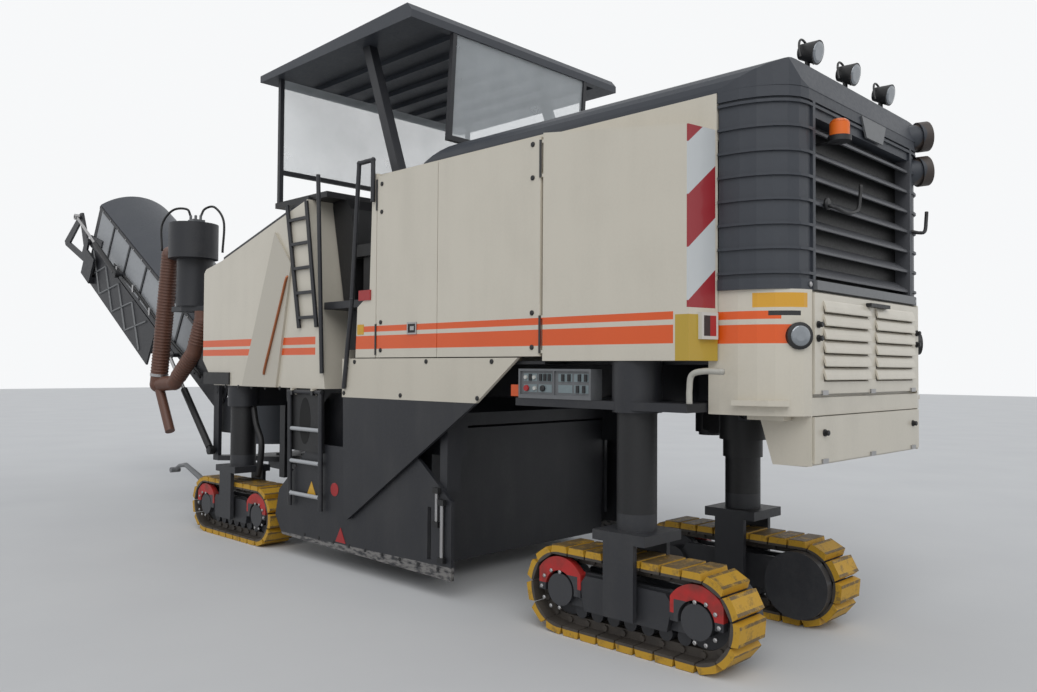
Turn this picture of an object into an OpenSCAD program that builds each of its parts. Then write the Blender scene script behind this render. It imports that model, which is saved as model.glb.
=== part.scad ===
// Cold planer milling machine on four crawler tracks, conveyor folded for the yard.
// X runs forward, Y to the machine's left and Z up, with the ground at Z = 0.
// All places along the machine are measured from the flat rear face, and from_rear()
// then shifts them so that the middle of the whole outline lies at the origin.

/* [Body] */
// Half of the body's width
body_half_w = 1250; // [1150:5:1300]
// Length from the rear face to the front of the tank
body_len = 6236; // [6000:10:6600]
// Underside of the body panels over the legs
body_floor = 1470; // [1450:5:1500]
// Height of the hood's top
hood_top = 3380; // [3340:10:3450]
// Half of the hood's width
hood_half_w = 1050; // [1000:5:1080]
// Half of the flat rear face's width
face_half_w = 785; // [740:5:820]
// Thickness of the doors
door_t = 40; // [30:1:45]
// Gap round every door
door_gap = 6; // [5:0.5:8]

/* [Engine bay] */
// Front of the side boxes, where the doors are hinged
bay_rear_x = 1600; // [1500:10:1700]
// Seam between the two side doors
door_seam_x = 2613; // [2500:10:2700]
// Rear face of the bulkhead behind the driver's platform
bulkhead_x = 3350; // [3300:10:3380]
// Bottom edge of the side doors
door_floor = 1730; // [1725:1:1750]
// Top edge of the side doors
door_top = 3145; // [3100:5:3160]

/* [Crawler tracks] */
// Distance between the centres of a track's end wheels
wheel_span = 990; // [900:10:1050]
// Outer radius over the pads, which is half the track's height
pad_r = 275; // [260:1:290]
// Width of the pads
pad_w = 280; // [260:2:290]
// Thickness of a pad
pad_t = 42; // [30:1:50]
// Number of shoes in each loop
shoe_count = 25; // [20:1:30]
// Distance of the outer tracks from the centre line
track_y = 1095; // [1060:5:1110]
// Place of the rear tracks
rear_axle_x = 950; // [900:10:1000]
// Place of the front tracks
front_axle_x = 5680; // [5600:10:5720]
// Distance of the rear right track from the centre line when it is swung in
swung_in_y = 140; // [120:5:160]
// Diameter of the lifting tubes
leg_d = 240; // [180:5:250]

/* [Milling drum] */
// Milling width over the tools
mill_w = 2000; // [1900:10:2050]
// Cutting circle diameter
cut_d = 1020; // [980:10:1040]
// Place of the drum's axis along the machine
drum_x = 3640; // [3600:10:3680]
// Height of the drum's axis
drum_z = 665; // [650:5:690]
// Number of tools along each half of the drum
tools_half = 26; // [16:1:30]

/* [Conveyor] */
// Angle of the conveyor above the horizontal
belt_rise = 30.5; // [28:0.5:32]
// Length of the main section ahead of its luffing pins
main_len = 4600; // [4400:20:4700]
// Depth of the main section's side walls
main_depth = 600; // [560:5:620]
// Half of the conveyor's width
belt_half_w = 520; // [480:5:530]
// Length of the folding end section
tip_len = 2650; // [2500:10:2700]
// Depth of the folding end section
tip_depth = 560; // [520:5:570]

/* [Canopy] */
// Underside of the canopy's roof
roof_z = 4300; // [4200:10:4340]
// Length of the roof
roof_len = 2230; // [2100:10:2300]

/* [Hidden] */
$fn = 48;

beige = "#c9c1b1";
charcoal = "#3b3d44";
black = "#1d1e20";
pad_yellow = "#d9a420";
steel = "#8d9095";

seat = 0.3;                 // clearance where one piece rests on another
run_gap = 5;                // clearance of pieces that move past each other
// the outline's middle, kept as a round number so that the origin lies under it
mid_x = 6091;

// heights of the chassis
rail_floor = 1430;
rail_top = 1680;
deck_t = 20;
deck_top = rail_top + deck_t;
front_frame_floor = 1270;
ledge_floor = 1410;
eye_d = 60;                  // lashing eyes
rail_in = 430;
rail_out = 600;
guide_floor = 1395;
guide_d = leg_d + 60;
hang_d = leg_d + 30;         // sleeve of the leg on the swing arm
frame_end = body_len - 236;  // front end of the lower frame

// the loop of a track: radii of its layers
shoe_r = pad_r - pad_t;     // outside of the steel shoes
shoe_t = 16;
chain_r = shoe_r - shoe_t;
chain_t = 50;
chain_w = 90;
tread_r = chain_r - chain_t; // where the wheels and rollers bear
loop_len = 2 * wheel_span + 2 * PI * shoe_r;
shoe_pitch = loop_len / shoe_count;

// swing arm of the rear right leg
arm_pivot_x = 1500;
arm_pivot_y = -620;
arm_floor = 1170;
arm_top = 1400;
arm_dx = rear_axle_x - arm_pivot_x;
arm_dy = -swung_in_y - arm_pivot_y;

// platform floor and the ladders' hinge
platform_z = 2200;
ladder_y = body_half_w + 2;
ladder_z = 1440;
ladder_pin_d = 36;

// hinges of the side doors: knuckles on the panels' outer edges
knuckle_d = 20;
hinge_pin_d = 10;
knuckle_h = 200;
hinge_levels = [1870, 3000];
rear_hinge_x = bay_rear_x + door_gap / 2;
front_hinge_x = bulkhead_x - 10 + door_gap / 2;

// hinges of the louvred door and of the tool box flap, along their bottom edges
flap_pin_d = 12;
louvre_axis = [8, 1530];
flap_axis = [3, 1150];

// conveyor places: slewing axis, luffing pins and the fold hinge
slew_x = body_len + 614;
luff_x = slew_x + 400;
luff_z = 1385;
wall_low = -270;            // lower edge of the main section below the line of its pins
fold_u = main_len + 30;
fold_w = wall_low - 12;
cyl_pin_d = 50;
lug_in = 550;               // the slewing frame's uprights, beside the walls
lug_out = 590;
side_y = 640;               // line of the cylinders beside them
arm_in = 560;               // arms of the end section
tip_half_w = belt_half_w - 1 - run_gap;
wall_top = wall_low + main_depth;
luff_foot = [luff_x + 20, 700];
luff_pin_u = 1196;          // eye of the luffing cylinder along the trough and square to it
luff_pin_w = -235;
luff_eye = [luff_x + luff_pin_u * cos(belt_rise) - luff_pin_w * sin(belt_rise),
    luff_z + luff_pin_u * sin(belt_rise) + luff_pin_w * cos(belt_rise)];
fold_foot = [main_len - 1360, -133];
fold_eye = [fold_u + 440, fold_w + 200];
fold_pin_d = 40;

// a rear corner in plan: a quarter of an ellipse from the flat face to the side
function corner(face_x, face_y, side_x, side_y) =
    [for (a = [0:15:90]) [face_x + (side_x - face_x) * (1 - cos(a)), face_y + (side_y - face_y) * sin(a)]];
// the same outline on both sides of the machine, closed at front_x
module rear_plan(face_x, face_y, side_x, side_y, front_x)
    polygon(concat(corner(face_x, face_y, side_x, side_y), [[front_x, side_y], [front_x, -side_y]],
        [for (i = [6:-1:0]) let (q = corner(face_x, face_y, side_x, side_y)[i]) [q[0], -q[1]]]));

module from_rear() { translate([-mid_x, 0, 0]) children(); }
module both_sides() {
    children();
    mirror([0, 1, 0]) children();
}
// a flat outline drawn in X and Z, as thick as the stretch from y0 to y1
module slab_xz(y0, y1) { translate([0, y1, 0]) rotate([90, 0, 0]) linear_extrude(y1 - y0) children(); }
// an outline drawn in Y and Z, drawn out from x0 to x1
module slab_yz(x0, x1) { translate([x0, 0, 0]) rotate([90, 0, 90]) linear_extrude(x1 - x0) children(); }
// a block given by its two corners
module block(a, b) { translate(a) cube(b - a); }
// a round bar between two points
module bar(p, q, d) {
    v = q - p;
    translate(p) rotate([0, acos(v[2] / norm(v)), atan2(v[1], v[0])]) cylinder(h = norm(v), d = d);
}
// a bar along several points, with a ball at each bend
module bent_bar(points, d) {
    for (i = [1:len(points) - 1]) bar(points[i - 1], points[i], d);
    for (i = [1:len(points) - 2]) translate(points[i]) sphere(d = d + 5);
}
// a bar along Y
module pin_y(x, z, y0, y1, d) { translate([x, y1, z]) rotate([90, 0, 0]) cylinder(h = y1 - y0, d = d); }
// the stadium outline of a track at the radius r
module stadium(r) {
    translate([-wheel_span / 2, -r]) square([wheel_span, 2 * r]);
    for (s = [-1, 1]) translate([s * wheel_span / 2, 0]) circle(r, $fn = 64);
}

// Chassis: two box rails on the deck, the lower front frame and the leg guides
module chassis() from_rear() color(charcoal) {
    both_sides() {
        block([500 + seat, rail_in, rail_floor], [4600, rail_out, rail_top]);
        block([4460, rail_in, front_frame_floor], [frame_end, rail_out, body_floor - seat]);
        // ledge along the recess behind the doors, cut out round the leg
        difference() {
            block([510, 880, ledge_floor], [1830, body_half_w - 15, ledge_floor + 50]);
            translate([rear_axle_x, track_y, ledge_floor - 1]) cylinder(h = 60, d = leg_d + 2 * seat);
        }
        for (x = [640, 1500]) block([x, rail_out - 1, ledge_floor + 25], [x + 80, 881, ledge_floor + 50]);
        // lashing eyes
        difference() {
            union() {
                block([520, 500, 1340], [600, 530, rail_floor + 1]);
                block([frame_end - 1, 540, front_frame_floor], [frame_end + 80, 570, front_frame_floor + 110]);
            }
            pin_y(560, 1380, 499, 531, eye_d);
            pin_y(frame_end + 40, front_frame_floor + 50, 539, 571, eye_d);
        }
    }
    for (x = [700, 2300, 3200, 3900]) block([x, -rail_in, rail_floor + 40], [x + 100, rail_in, rail_top]);
    block([500 + seat, -1000, rail_top], [4030, 1000, deck_top]);
    block([bay_rear_x + 2, 50 - body_half_w, rail_top], [3390, body_half_w - 50, deck_top]);
    // sleeves of the front legs and of the rear left leg, on their outriggers
    for (p = [[front_axle_x, track_y], [front_axle_x, -track_y], [rear_axle_x, track_y]]) {
        front = p[0] == front_axle_x;
        top = front ? body_floor - seat : deck_top - seat;
        low = front ? front_frame_floor : rail_floor;
        difference() {
            union() {
                translate([p[0], p[1], front ? low : guide_floor]) cylinder(h = top - (front ? low : guide_floor), d = guide_d);
                translate([p[0] - 110, min(sign(p[1]) * rail_out, p[1]), low]) cube([220, track_y - rail_out, top - low]);
            }
            translate([p[0], p[1], low - 100]) cylinder(h = 500, d = leg_d + 2 * seat);
        }
    }
    // pivot block and pin of the swing arm
    block([arm_pivot_x - 130, -760, rail_floor], [arm_pivot_x + 130, -rail_out, rail_top]);
    translate([arm_pivot_x, arm_pivot_y, arm_top + run_gap]) cylinder(h = rail_floor - arm_top, d = 200);
    translate([arm_pivot_x, arm_pivot_y, arm_floor - 20]) cylinder(h = rail_floor - arm_floor + 40, d = 120);
    translate([arm_pivot_x, arm_pivot_y, arm_floor - run_gap - 20]) cylinder(h = 20, d = 190);
    // fork that carries the conveyor's lower slewing pin
    both_sides() block([frame_end - 100, 470, 500], [frame_end, 510, front_frame_floor + 100]);
    block([frame_end - 100, -510, 500], [frame_end, 510, 580]);
    hull() {
        block([frame_end - 100, -200, 500], [frame_end, 200, 580]);
        translate([slew_x, 0, 500]) cylinder(h = 80, d = 260);
    }
    translate([slew_x, 0, 579]) cylinder(h = 80, d = 90);
}

// Engine: the closed mass behind the side doors, one plain block
module engine_block() from_rear() color(steel)
    block([760, -420, deck_top + seat], [2560, 420, 2700]);

hood_low = 3215;
pipe_d = 205;                // exhaust pipes and their heights
pipe_levels = [3250, 3010];
hood_edge = [230, 140];      // width and height of the hood's rounded edges
// Hood: a cover with rounded edges that slopes down behind the driver's canopy
module hood_outline(t) {
    edge = [for (a = [0:15:90]) [hood_half_w - t - (hood_edge[0] - t) * (1 - cos(a)),
        hood_top - hood_edge[1] + (hood_edge[1] - t) * sin(a)]];
    polygon(concat([[hood_half_w - t, hood_low - 1]], edge,
        [for (i = [6:-1:0]) [-edge[i][0], edge[i][1]]], [[t - hood_half_w, hood_low - 1]]));
}
module hood_shell() difference() {
    intersection() {
        slab_yz(10, 3020) hood_outline(0);
        linear_extrude(hood_top + 1) rear_plan(12, face_half_w + 5, 400, hood_half_w, 3020);
    }
    intersection() {
        slab_yz(90, 3021) hood_outline(40);
        linear_extrude(hood_top + 1) rear_plan(92, face_half_w - 35, 440, hood_half_w - 40, 3021);
    }
    block([0, -2000, hood_low - 2], [3100, 2000, hood_low]);
    // the front end comes down behind the canopy
    translate([2720, 0, hood_top]) rotate([0, 26, 0]) translate([0, -1500, 0]) cube([800, 3000, 400]);
    // the rear edge leans
    translate([10, 0, hood_low]) rotate([0, 20, 0]) translate([-400, -1500, -100]) cube([400, 3000, 600]);
}
// an exhaust pipe out of the right rear corner at the height z, wider at its mouth
module exhaust(z) difference() {
    union() {
        bar([150, -775, z - 5], [-15, -945, z + 30], pipe_d - 30);
        bar([33, -895, z + 20], [-15, -945, z + 30], pipe_d);
    }
    bar([26, -902, z + 21], [-29, -959, z + 33], pipe_d - 24);
}
module hood() from_rear() color(charcoal) {
    hood_shell();
    exhaust(pipe_levels[0]);
}

grille_floor = 2095;
rib_pitch = 135;
core_x = 115;                // rear face of the cooler
// Rear grille: horizontal bars between ribbed cheeks, with the cooler behind them
module rear_grille() from_rear() color(black) {
    grille_top = hood_low - seat;
    difference() {
        // cheeks that curve round to the sides, with proud ribs and edges
        union() {
            translate([0, 0, grille_floor]) linear_extrude(grille_top - grille_floor)
                rear_plan(28, face_half_w, 400, hood_half_w - 14, 430);
            for (i = [0:7]) translate([0, 0, grille_floor + 85 + i * rib_pitch]) linear_extrude(16)
                rear_plan(14, face_half_w, 400, hood_half_w, 430);
            for (z = [grille_floor, grille_top - 60]) translate([0, 0, z]) linear_extrude(60)
                rear_plan(14, face_half_w, 400, hood_half_w, 430);
        }
        // mouth in front of the cooler, and the hollow behind the cheeks
        block([0, -705, grille_floor + 60], [120, 705, grille_top - 140]);
        translate([0, 0, grille_floor + 30]) linear_extrude(grille_top - grille_floor - 60)
            rear_plan(121, face_half_w - 60, 440, hood_half_w - 60, 441);
        // room for the upper exhaust pipe
        bar([160, -765, pipe_levels[0] - 7], [-29, -959, pipe_levels[0] + 33], pipe_d + 6);
    }
    // edges beside the mouth
    both_sides() block([14, 705, grille_floor], [40, 735, grille_top]);
    for (i = [0:6]) slab_xz(-706, 706)
        translate([28, grille_floor + 85 + i * rib_pitch]) polygon([[0, 0], [16, 0], [92, 56], [92, 70], [78, 70], [0, 14]]);
    // cooler core
    block([core_x, -706, grille_floor + 29], [420, 706, grille_top - 29]);
    exhaust(pipe_levels[1]);
}

// Rear body: the panel below the grille and the tool box under it
module rear_body() from_rear() color(beige) {
    difference() {
        translate([0, 0, 1400]) linear_extrude(grille_floor - seat - 1400)
            rear_plan(0, face_half_w, 430, hood_half_w - 20, 500);
        // recess for the louvred door
        block([-1, -face_half_w + door_gap, louvre_axis[1] - 30], [door_t - 8, face_half_w - door_gap, 2096]);
    }
    slab_xz(-face_half_w, face_half_w)
        polygon([[32, 1401], [32, 1120], [230, 1120], [315, 1401]]);
    both_sides() {
        // cheeks of the tool box
        slab_xz(face_half_w - 3, face_half_w + 8) polygon([[0, 1401], [0, 1125], [230, 1120], [315, 1401]]);
        pin_y(louvre_axis[0], louvre_axis[1], face_half_w - 40, face_half_w, flap_pin_d);
        pin_y(flap_axis[0], flap_axis[1], face_half_w - 40, face_half_w, flap_pin_d);
        // step brackets on the corners
        block([110, face_half_w + 20, 1372], [330, 900, 1401]);
    }
}

// Louvred door: hinged at its bottom edge, with slots in two columns
module louvre_door() from_rear() color(beige) difference() {
    block([-12, -face_half_w + 2 * door_gap, 1520], [door_t - 18, face_half_w - 2 * door_gap, 2080]);
    for (side = [-1, 1]) for (i = [0:5]) translate([0, side * 360, 1585 + i * 76])
        slab_xz(-300, 300) polygon([[-20, 0], [-20, 26], [40, 46], [40, 20]]);
    both_sides() pin_y(louvre_axis[0], louvre_axis[1], face_half_w - 41, face_half_w, flap_pin_d + 2 * seat);
}

// Flap of the tool box, hinged at its bottom edge
module storage_flap() from_rear() color(beige) difference() {
    block([-12, -face_half_w + 10, 1137], [18, face_half_w - 10, 1394]);
    both_sides() pin_y(flap_axis[0], flap_axis[1], face_half_w - 41, face_half_w, flap_pin_d + 2 * seat);
}

// ears and pins of a door's hinges on the body, dir points from the axis to the body
module hinge_ears(x, dir) for (z = hinge_levels) {
    translate([x, body_half_w, z - knuckle_h / 2 - 20]) cylinder(h = knuckle_h + 40, d = hinge_pin_d);
    for (s = [-1, 1]) translate([0, 0, z + s * (knuckle_h / 2 + 10 + seat) - 10]) {
        translate([x, body_half_w, 0]) cylinder(h = 20, d = knuckle_d);
        translate([min(x, x + dir * 30), body_half_w - 20, 0]) cube([30, 20, 20]);
    }
}
// room for the ears in the door, or for the knuckles in the body
module hinge_room(x, h, gap) for (z = hinge_levels)
    translate([x, body_half_w, z - h / 2 - gap]) cylinder(h = h + 2 * gap, d = knuckle_d + 2 * gap);

// rear face of a side box, which runs forward towards the outside
function box_rear(y) = 436 + 54 * (y - hood_half_w + 13) / (body_half_w - hood_half_w + 13);
// Side boxes: closed housings behind the rear corners
module side_boxes() from_rear() color(beige) both_sides() {
    intersection() {
        translate([0, 0, deck_top + seat]) linear_extrude(1600)
            polygon([[box_rear(body_half_w), body_half_w], [436, hood_half_w - 13], [506, hood_half_w - 13], [506, 860], [bay_rear_x, 860],
                [bay_rear_x, body_half_w - 20], [bay_rear_x - 20, body_half_w]]);
        slab_xz(0, 1500) polygon([[400, deck_top], [400, 3000], [bay_rear_x - seat, 3165], [bay_rear_x - seat, deck_top]]);
    }
    block([436, hood_half_w - 50, 2950], [bay_rear_x - seat, hood_half_w, hood_low - seat]);
    hinge_ears(rear_hinge_x, -1);
}

// Bay frame: the beams above the doors and the bulkhead at the platform
module bay_frame() from_rear() color(beige) {
    top_z = door_top + door_gap;
    inner_y = body_half_w - door_t - door_gap;
    both_sides() {
        block([bay_rear_x, 980, top_z], [3390, inner_y, top_z + 20]);
        block([bay_rear_x, 980, top_z], [3010, hood_half_w, hood_low - seat]);
        block([bulkhead_x, 890, deck_top + seat], [bulkhead_x + 40, inner_y, top_z + 20]);
        // fixed corner panel ahead of the doors
        difference() {
            slab_xz(body_half_w - door_t, body_half_w)
                polygon([[bulkhead_x - 4, door_floor], [3610, door_floor], [3590, 2130], [3430, 2230],
                    [3400, top_z + 20], [bulkhead_x - 4, top_z + 20]]);
            hinge_room(front_hinge_x, knuckle_h, 2);
        }
        hinge_ears(front_hinge_x, 1);
        block([bulkhead_x, inner_y - 1, door_floor], [bulkhead_x + 40, body_half_w - door_t + 1, top_z + 20]);
    }
    block([bulkhead_x, -900, deck_top + seat], [bulkhead_x + 40, 900, top_z + 20]);
}

// A side door on the left, cut from one panel by an outline in X and Z, with its hinge at x
module door_panel(x) difference() {
    union() {
        difference() {
            slab_xz(body_half_w - door_t, body_half_w) children();
            hinge_room(x, knuckle_h + 40, 2);
        }
        for (z = hinge_levels) translate([x, body_half_w, z - knuckle_h / 2]) {
            cylinder(h = knuckle_h, d = knuckle_d);
            // leaf that joins the knuckle to the panel
            leaf = x < door_seam_x ? x : x - 40;
            translate([leaf - x, -15, 0]) cube([40, 10, knuckle_h]);
        }
    }
    for (z = hinge_levels) translate([x, body_half_w, z - knuckle_h]) cylinder(h = 2 * knuckle_h, d = hinge_pin_d + 2 * seat);
}
module rear_door_outline() {
    polygon([[bay_rear_x + door_gap, door_floor], [door_seam_x - door_gap / 2, door_floor],
        [door_seam_x - door_gap / 2, door_top], [bay_rear_x + door_gap, door_top]]);
}
module front_door_outline() {
    polygon([[door_seam_x + door_gap / 2, door_floor], [bulkhead_x - 10, door_floor],
        [bulkhead_x - 10, door_top], [door_seam_x + door_gap / 2, door_top]]);
}
module left_rear_door() from_rear() color(beige) door_panel(rear_hinge_x) rear_door_outline();
module left_front_door() from_rear() color(beige) door_panel(front_hinge_x) front_door_outline();
module right_rear_door() mirror([0, 1, 0]) left_rear_door();
module right_front_door() mirror([0, 1, 0]) left_front_door();

tunnel_half_w = 480;
tank_crest = [4340, 3100];
tank_brow = [5870, 2690];
function tank_edge(x) = tank_crest[1] + (x - tank_crest[0]) * (tank_brow[1] - tank_crest[1]) / (tank_brow[0] - tank_crest[0]);
// Front body: the tank ahead of the platform, with its tunnel for the belt
module front_body() from_rear() color(beige) {
    difference() {
        slab_xz(-body_half_w, body_half_w)
            polygon([[4040, body_floor], [body_len - 245, body_floor], [body_len, body_floor + 245],
                [body_len, 2590], [body_len - 40, 2630], tank_brow, tank_crest]);
        block([5100, -tunnel_half_w, body_floor - 1], [body_len + 1, tunnel_half_w, 2120]);
        both_sides() block([4000, rail_in - 5, body_floor - 1], [4605, rail_out + 5, rail_top + 5]);
    }
    // raised strut with the drain pipe
    both_sides() slab_xz(body_half_w - 1, body_half_w + 22)
        polygon([[4560, 2560], [4790, body_floor], [5400, body_floor], [4840, 2860]]);
    // hinge lugs of the ladders
    both_sides() for (x = [4180, 4500]) difference() {
        block([x, ladder_y - 32, 1412], [x + 30, ladder_y + 28, body_floor + 1]);
        bar([x - 1, ladder_y, ladder_z], [x + 31, ladder_y, ladder_z], ladder_pin_d + 2 * seat);
    }
    // upper lug of the slewing axis
    difference() {
        hull() {
            block([body_len - 5, -160, 2200], [body_len + 5, 160, 2270]);
            translate([slew_x, 0, 2200]) cylinder(h = 70, d = 220);
        }
        translate([slew_x, 0, 2199]) cylinder(h = 72, d = 100 + 2 * seat);
    }
}

// Platform: the floor between the bulkhead and the tank
module platform() from_rear() color(charcoal) {
    floor_z = platform_z - 60;
    block([bulkhead_x + 40 + seat, 50 - body_half_w, floor_z], [4140, body_half_w - 50, platform_z]);
    both_sides() {
        block([3500, rail_in, deck_top + seat], [4000, rail_out, floor_z]);
        block([3500, 1000, deck_top + 100], [4000, 1040, floor_z]);
    }
}

// Operator's station: the console and the two seats
module operator_station() from_rear() color(black) {
    floor_z = platform_z + seat;
    slab_xz(-1000, 1000) polygon([[3980, floor_z], [4140, floor_z], [4325, 3055], [4325, 3110],
        [4120, 3110], [4060, 3020], [3980, 2700]]);
    block([4120, 50 - body_half_w, 3100 + seat], [4960, body_half_w - 50, 3150]);
    // two seats
    both_sides() {
        block([3560, 620, floor_z], [3860, 1000, platform_z + 380]);
        block([3500, 560, platform_z + 380], [3960, 1050, platform_z + 480]);
        slab_xz(560, 1050) polygon([[3520, platform_z + 400], [3440, platform_z + 940], [3400, platform_z + 930],
            [3480, platform_z + 400]]);
    }
}

gate_y = body_half_w - 65;   // inner faces of the side plates
gate_t = 30;
rail_d = 36;
// Railings: the gates at both entrances and the tall handrails beside them
module railings() from_rear() color(charcoal) both_sides() {
    y = body_half_w + rail_d / 2 + seat;
    // gate, with flat rungs
    bar([4640, y, 3080], [4420, y, 1990], rail_d);
    bar([4330, y, 3080], [4150, y, 1990], rail_d);
    for (i = [0:4]) block([4308 - i * 35, y - 12, 2925 - i * 215], [4608 - i * 43, y + 12, 2950 - i * 215]);
    // flat rail along the tank's sloping edge
    slab_xz(body_half_w - 45, body_half_w - 15)
        polygon([[4350, tank_edge(4350) + seat], [5860, tank_edge(5860) + seat], [5860, tank_edge(5860) + 34],
            [4350, tank_edge(4350) + 34]]);
    // handrails
    bar([4150, y, 3280], [4060, y, 1600], rail_d);
    bent_bar([[3740, y, 1480], [3640, y, 2200], [3560, y, 3280], [3375, y, 3280], [3375, y, 2950]], rail_d);
}

// Drum housing: the arched box over the drum, its cheeks and the guides
module drum_housing() from_rear() color(charcoal) {
    r = cut_d / 2 + 45;
    inner = mill_w / 2 + 25;
    rear_x = drum_x - 760;
    front_x = drum_x + 800;
    difference() {
        slab_xz(-inner - 35, inner + 35)
            polygon([[rear_x, 330], [rear_x, 1300], [rear_x + 160, rail_floor - seat],
                [front_x - 200, rail_floor - seat], [front_x, 1250], [front_x, 330]]);
        pin_y(drum_x, drum_z, -inner, inner, 2 * r);
        slab_xz(-inner, inner)
            polygon([[drum_x - r, drum_z], [drum_x + r, drum_z], [drum_x + r, 300], [drum_x - r, 300]]);
        block([drum_x + 400, -400, 330], [front_x + 1, 400, 900]);
        // the rear face is open behind the scraper
        block([rear_x - 10, -inner, 329], [drum_x - r + 20, inner, 1200]);
    }
    both_sides() {
        pin_y(drum_x, drum_z, mill_w / 2 - 120, inner + 1, 300);
        // guides of the side plates
        for (x = [2560, 4340]) block([x, inner + 30, 760], [x + 80, gate_y - seat, 1380]);
        block([2560, inner - 35, 1000], [rear_x + 10, inner + 35, 1380]);
    }
    // shroud round the mouth of the belt
    both_sides() block([front_x - 1, 400, 330], [front_x + 160, 425, 900]);
    block([front_x - 1, -425, 900], [front_x + 160, 425, 925]);
}

// Scraper: the blade that closes the housing behind the drum
module scraper() from_rear() color(charcoal) {
    slab_xz(-mill_w / 2 - 25 + seat, mill_w / 2 + 25 - seat)
        polygon([[drum_x - 720, 150], [drum_x - 750, 1180], [drum_x - 710, 1199], [drum_x - 670, 150]]);
}

// Milling drum: a tube with tool holders set along two opposed spirals
module milling_drum() from_rear() color(steel) {
    tube_r = cut_d / 2 - 135;
    difference() {
        pin_y(drum_x, drum_z, -mill_w / 2 + 5, mill_w / 2 - 5, 2 * tube_r);
        both_sides() pin_y(drum_x, drum_z, mill_w / 2 - 130, mill_w / 2, 300 + 2 * seat);
    }
    for (side = [-1, 1]) for (i = [0:tools_half - 1])
        translate([drum_x, side * (mill_w / 2 - 25 - i * (mill_w / 2 - 50) / (tools_half - 1)), drum_z])
            rotate([90, 0, 0]) rotate(i * 47) linear_extrude(34, center = true)
                polygon([[tube_r - 20, -60], [tube_r + 70, -50], [cut_d / 2, 15], [tube_r + 75, 25], [tube_r - 20, 55]]);
}

// Side plates: the gates that ride beside the drum, raised and lowered by their cylinders
module side_plate(side) {
    y0 = side > 0 ? gate_y : -gate_y - gate_t;
    slab_xz(y0, y0 + gate_t) difference() {
        polygon([[2480, 140], [2480, 700], [2880, 1000], [4300, 1000], [4560, 760], [4800, 560],
            [4860, 330], [4740, 170]]);
        translate([2700, 260]) square([40, 380]);
    }
}
module side_plate_left() from_rear() color(charcoal) side_plate(1);
module side_plate_right() from_rear() color(charcoal) side_plate(-1);

// Side skirts: the beige skirt under the doors and the apron over the side plate
module side_skirts() from_rear() color(charcoal) both_sides() {
    slab_xz(body_half_w - 28, body_half_w) {
        polygon([[1800, 1722], [3790, 1722], [3790, 1410], [2200, 1410]]);
        polygon([[2200, 1411], [3776, 1411], [3756, 460], [3700, 430]]);
    }
    for (x = [2350, 3300]) block([x, body_half_w - 150, 1620], [x + 60, body_half_w - 27, rail_top - seat]);
}

// Primary conveyor: the trough that climbs from the drum to the front
module primary_conveyor() from_rear() color(charcoal) {
    translate([4760, 0, 480]) rotate([0, -38.4, 0]) {
        both_sides() block([-120, 370, -130], [2230, 395, 200]);
        block([-100, -371, -60], [2180, 371, 60]);
        for (u = [-60, 2140]) translate([u, -371, 0]) rotate([-90, 0, 0]) cylinder(h = 742, d = 200);
        // hangers on the walls of the tunnel
        both_sides() block([1700, 394, -60], [1800, tunnel_half_w - seat, 60]);
    }
}

lamp_in = hood_half_w + 12;
lamp_out = body_half_w - 70;
// Lamps: the work lamps on the rear edge and the orange beacon
module lamps() from_rear() color(black) {
    for (y = [520, 0, -560]) {
        translate([150, y, hood_top + seat]) cylinder(h = 130, d = 30);
        translate([190, y, hood_top + 150]) rotate([0, -105, 0]) cylinder(h = 110, d1 = 90, d2 = 140);
    }
    translate([-60, 560, 2960]) cylinder(h = 90, d = 110);
    translate([-60, 560, 2945]) cylinder(h = 30, d = 130);
    bar([-60, 560, 2950], [core_x - seat, 560, 2950], 16);
    // tail lamps on the ends of the side boxes
    both_sides() translate([0, 0, 1820]) linear_extrude(150)
        polygon([[box_rear(lamp_in) - 25, lamp_in], [box_rear(lamp_out) - 25, lamp_out],
            [box_rear(lamp_out) - seat, lamp_out], [box_rear(lamp_in) - seat, lamp_in]]);
}

// Control panel in the recess under the left side box
module control_panel() from_rear() color(steel) {
    face = body_half_w - 10;
    difference() {
        block([1190, face - 110, ledge_floor + 50 + seat], [1800, face, 1650]);
        for (x = [1205, 1500]) block([x, face - 12, ledge_floor + 75], [x + 285, face + 1, 1635]);
    }
}

// Canopy: posts, front screen frame, roof and panes
module canopy_frame() from_rear() color(charcoal) both_sides() {
    slab_xz(body_half_w - 210, body_half_w - 130) polygon([[3225, door_top + door_gap + 20 + seat], [3315, door_top + door_gap + 20 + seat],
        [3740, roof_z - seat], [3650, roof_z - seat]]);
    block([4925, body_half_w - 110, 3150 + seat], [4965, body_half_w - 70, roof_z - seat]);
    block([4925, -1, 3420], [4965, body_half_w - 109, 3460]);
    slab_xz(780, 820) polygon([[3000, 3460], [3040, 3460], [2985, roof_z - seat], [2945, roof_z - seat]]);
    slab_xz(-1, 781) polygon([[3000, 3460], [3040, 3460], [3037, 3500], [2997, 3500]]);
}
module canopy_roof() from_rear() color(charcoal) difference() {
    slab_xz(-body_half_w, body_half_w)
        polygon([[2940, roof_z], [2940, roof_z + 60], [2990, roof_z + 120], [2940 + roof_len, roof_z + 60],
            [2940 + roof_len, roof_z]]);
    for (i = [-3:3]) block([3010, i * 290 - 125, roof_z - 1], [2880 + roof_len, i * 290 + 125, roof_z + 40]);
}
module canopy_glass() from_rear() color("#bcd0d6", 0.5) {
    block([4940, 110 - body_half_w, 3460], [4950, body_half_w - 110, roof_z - seat]);
    slab_xz(-780, 780) polygon([[3012, 3500], [3022, 3500], [2969, roof_z - seat], [2959, roof_z - seat]]);
}

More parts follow.
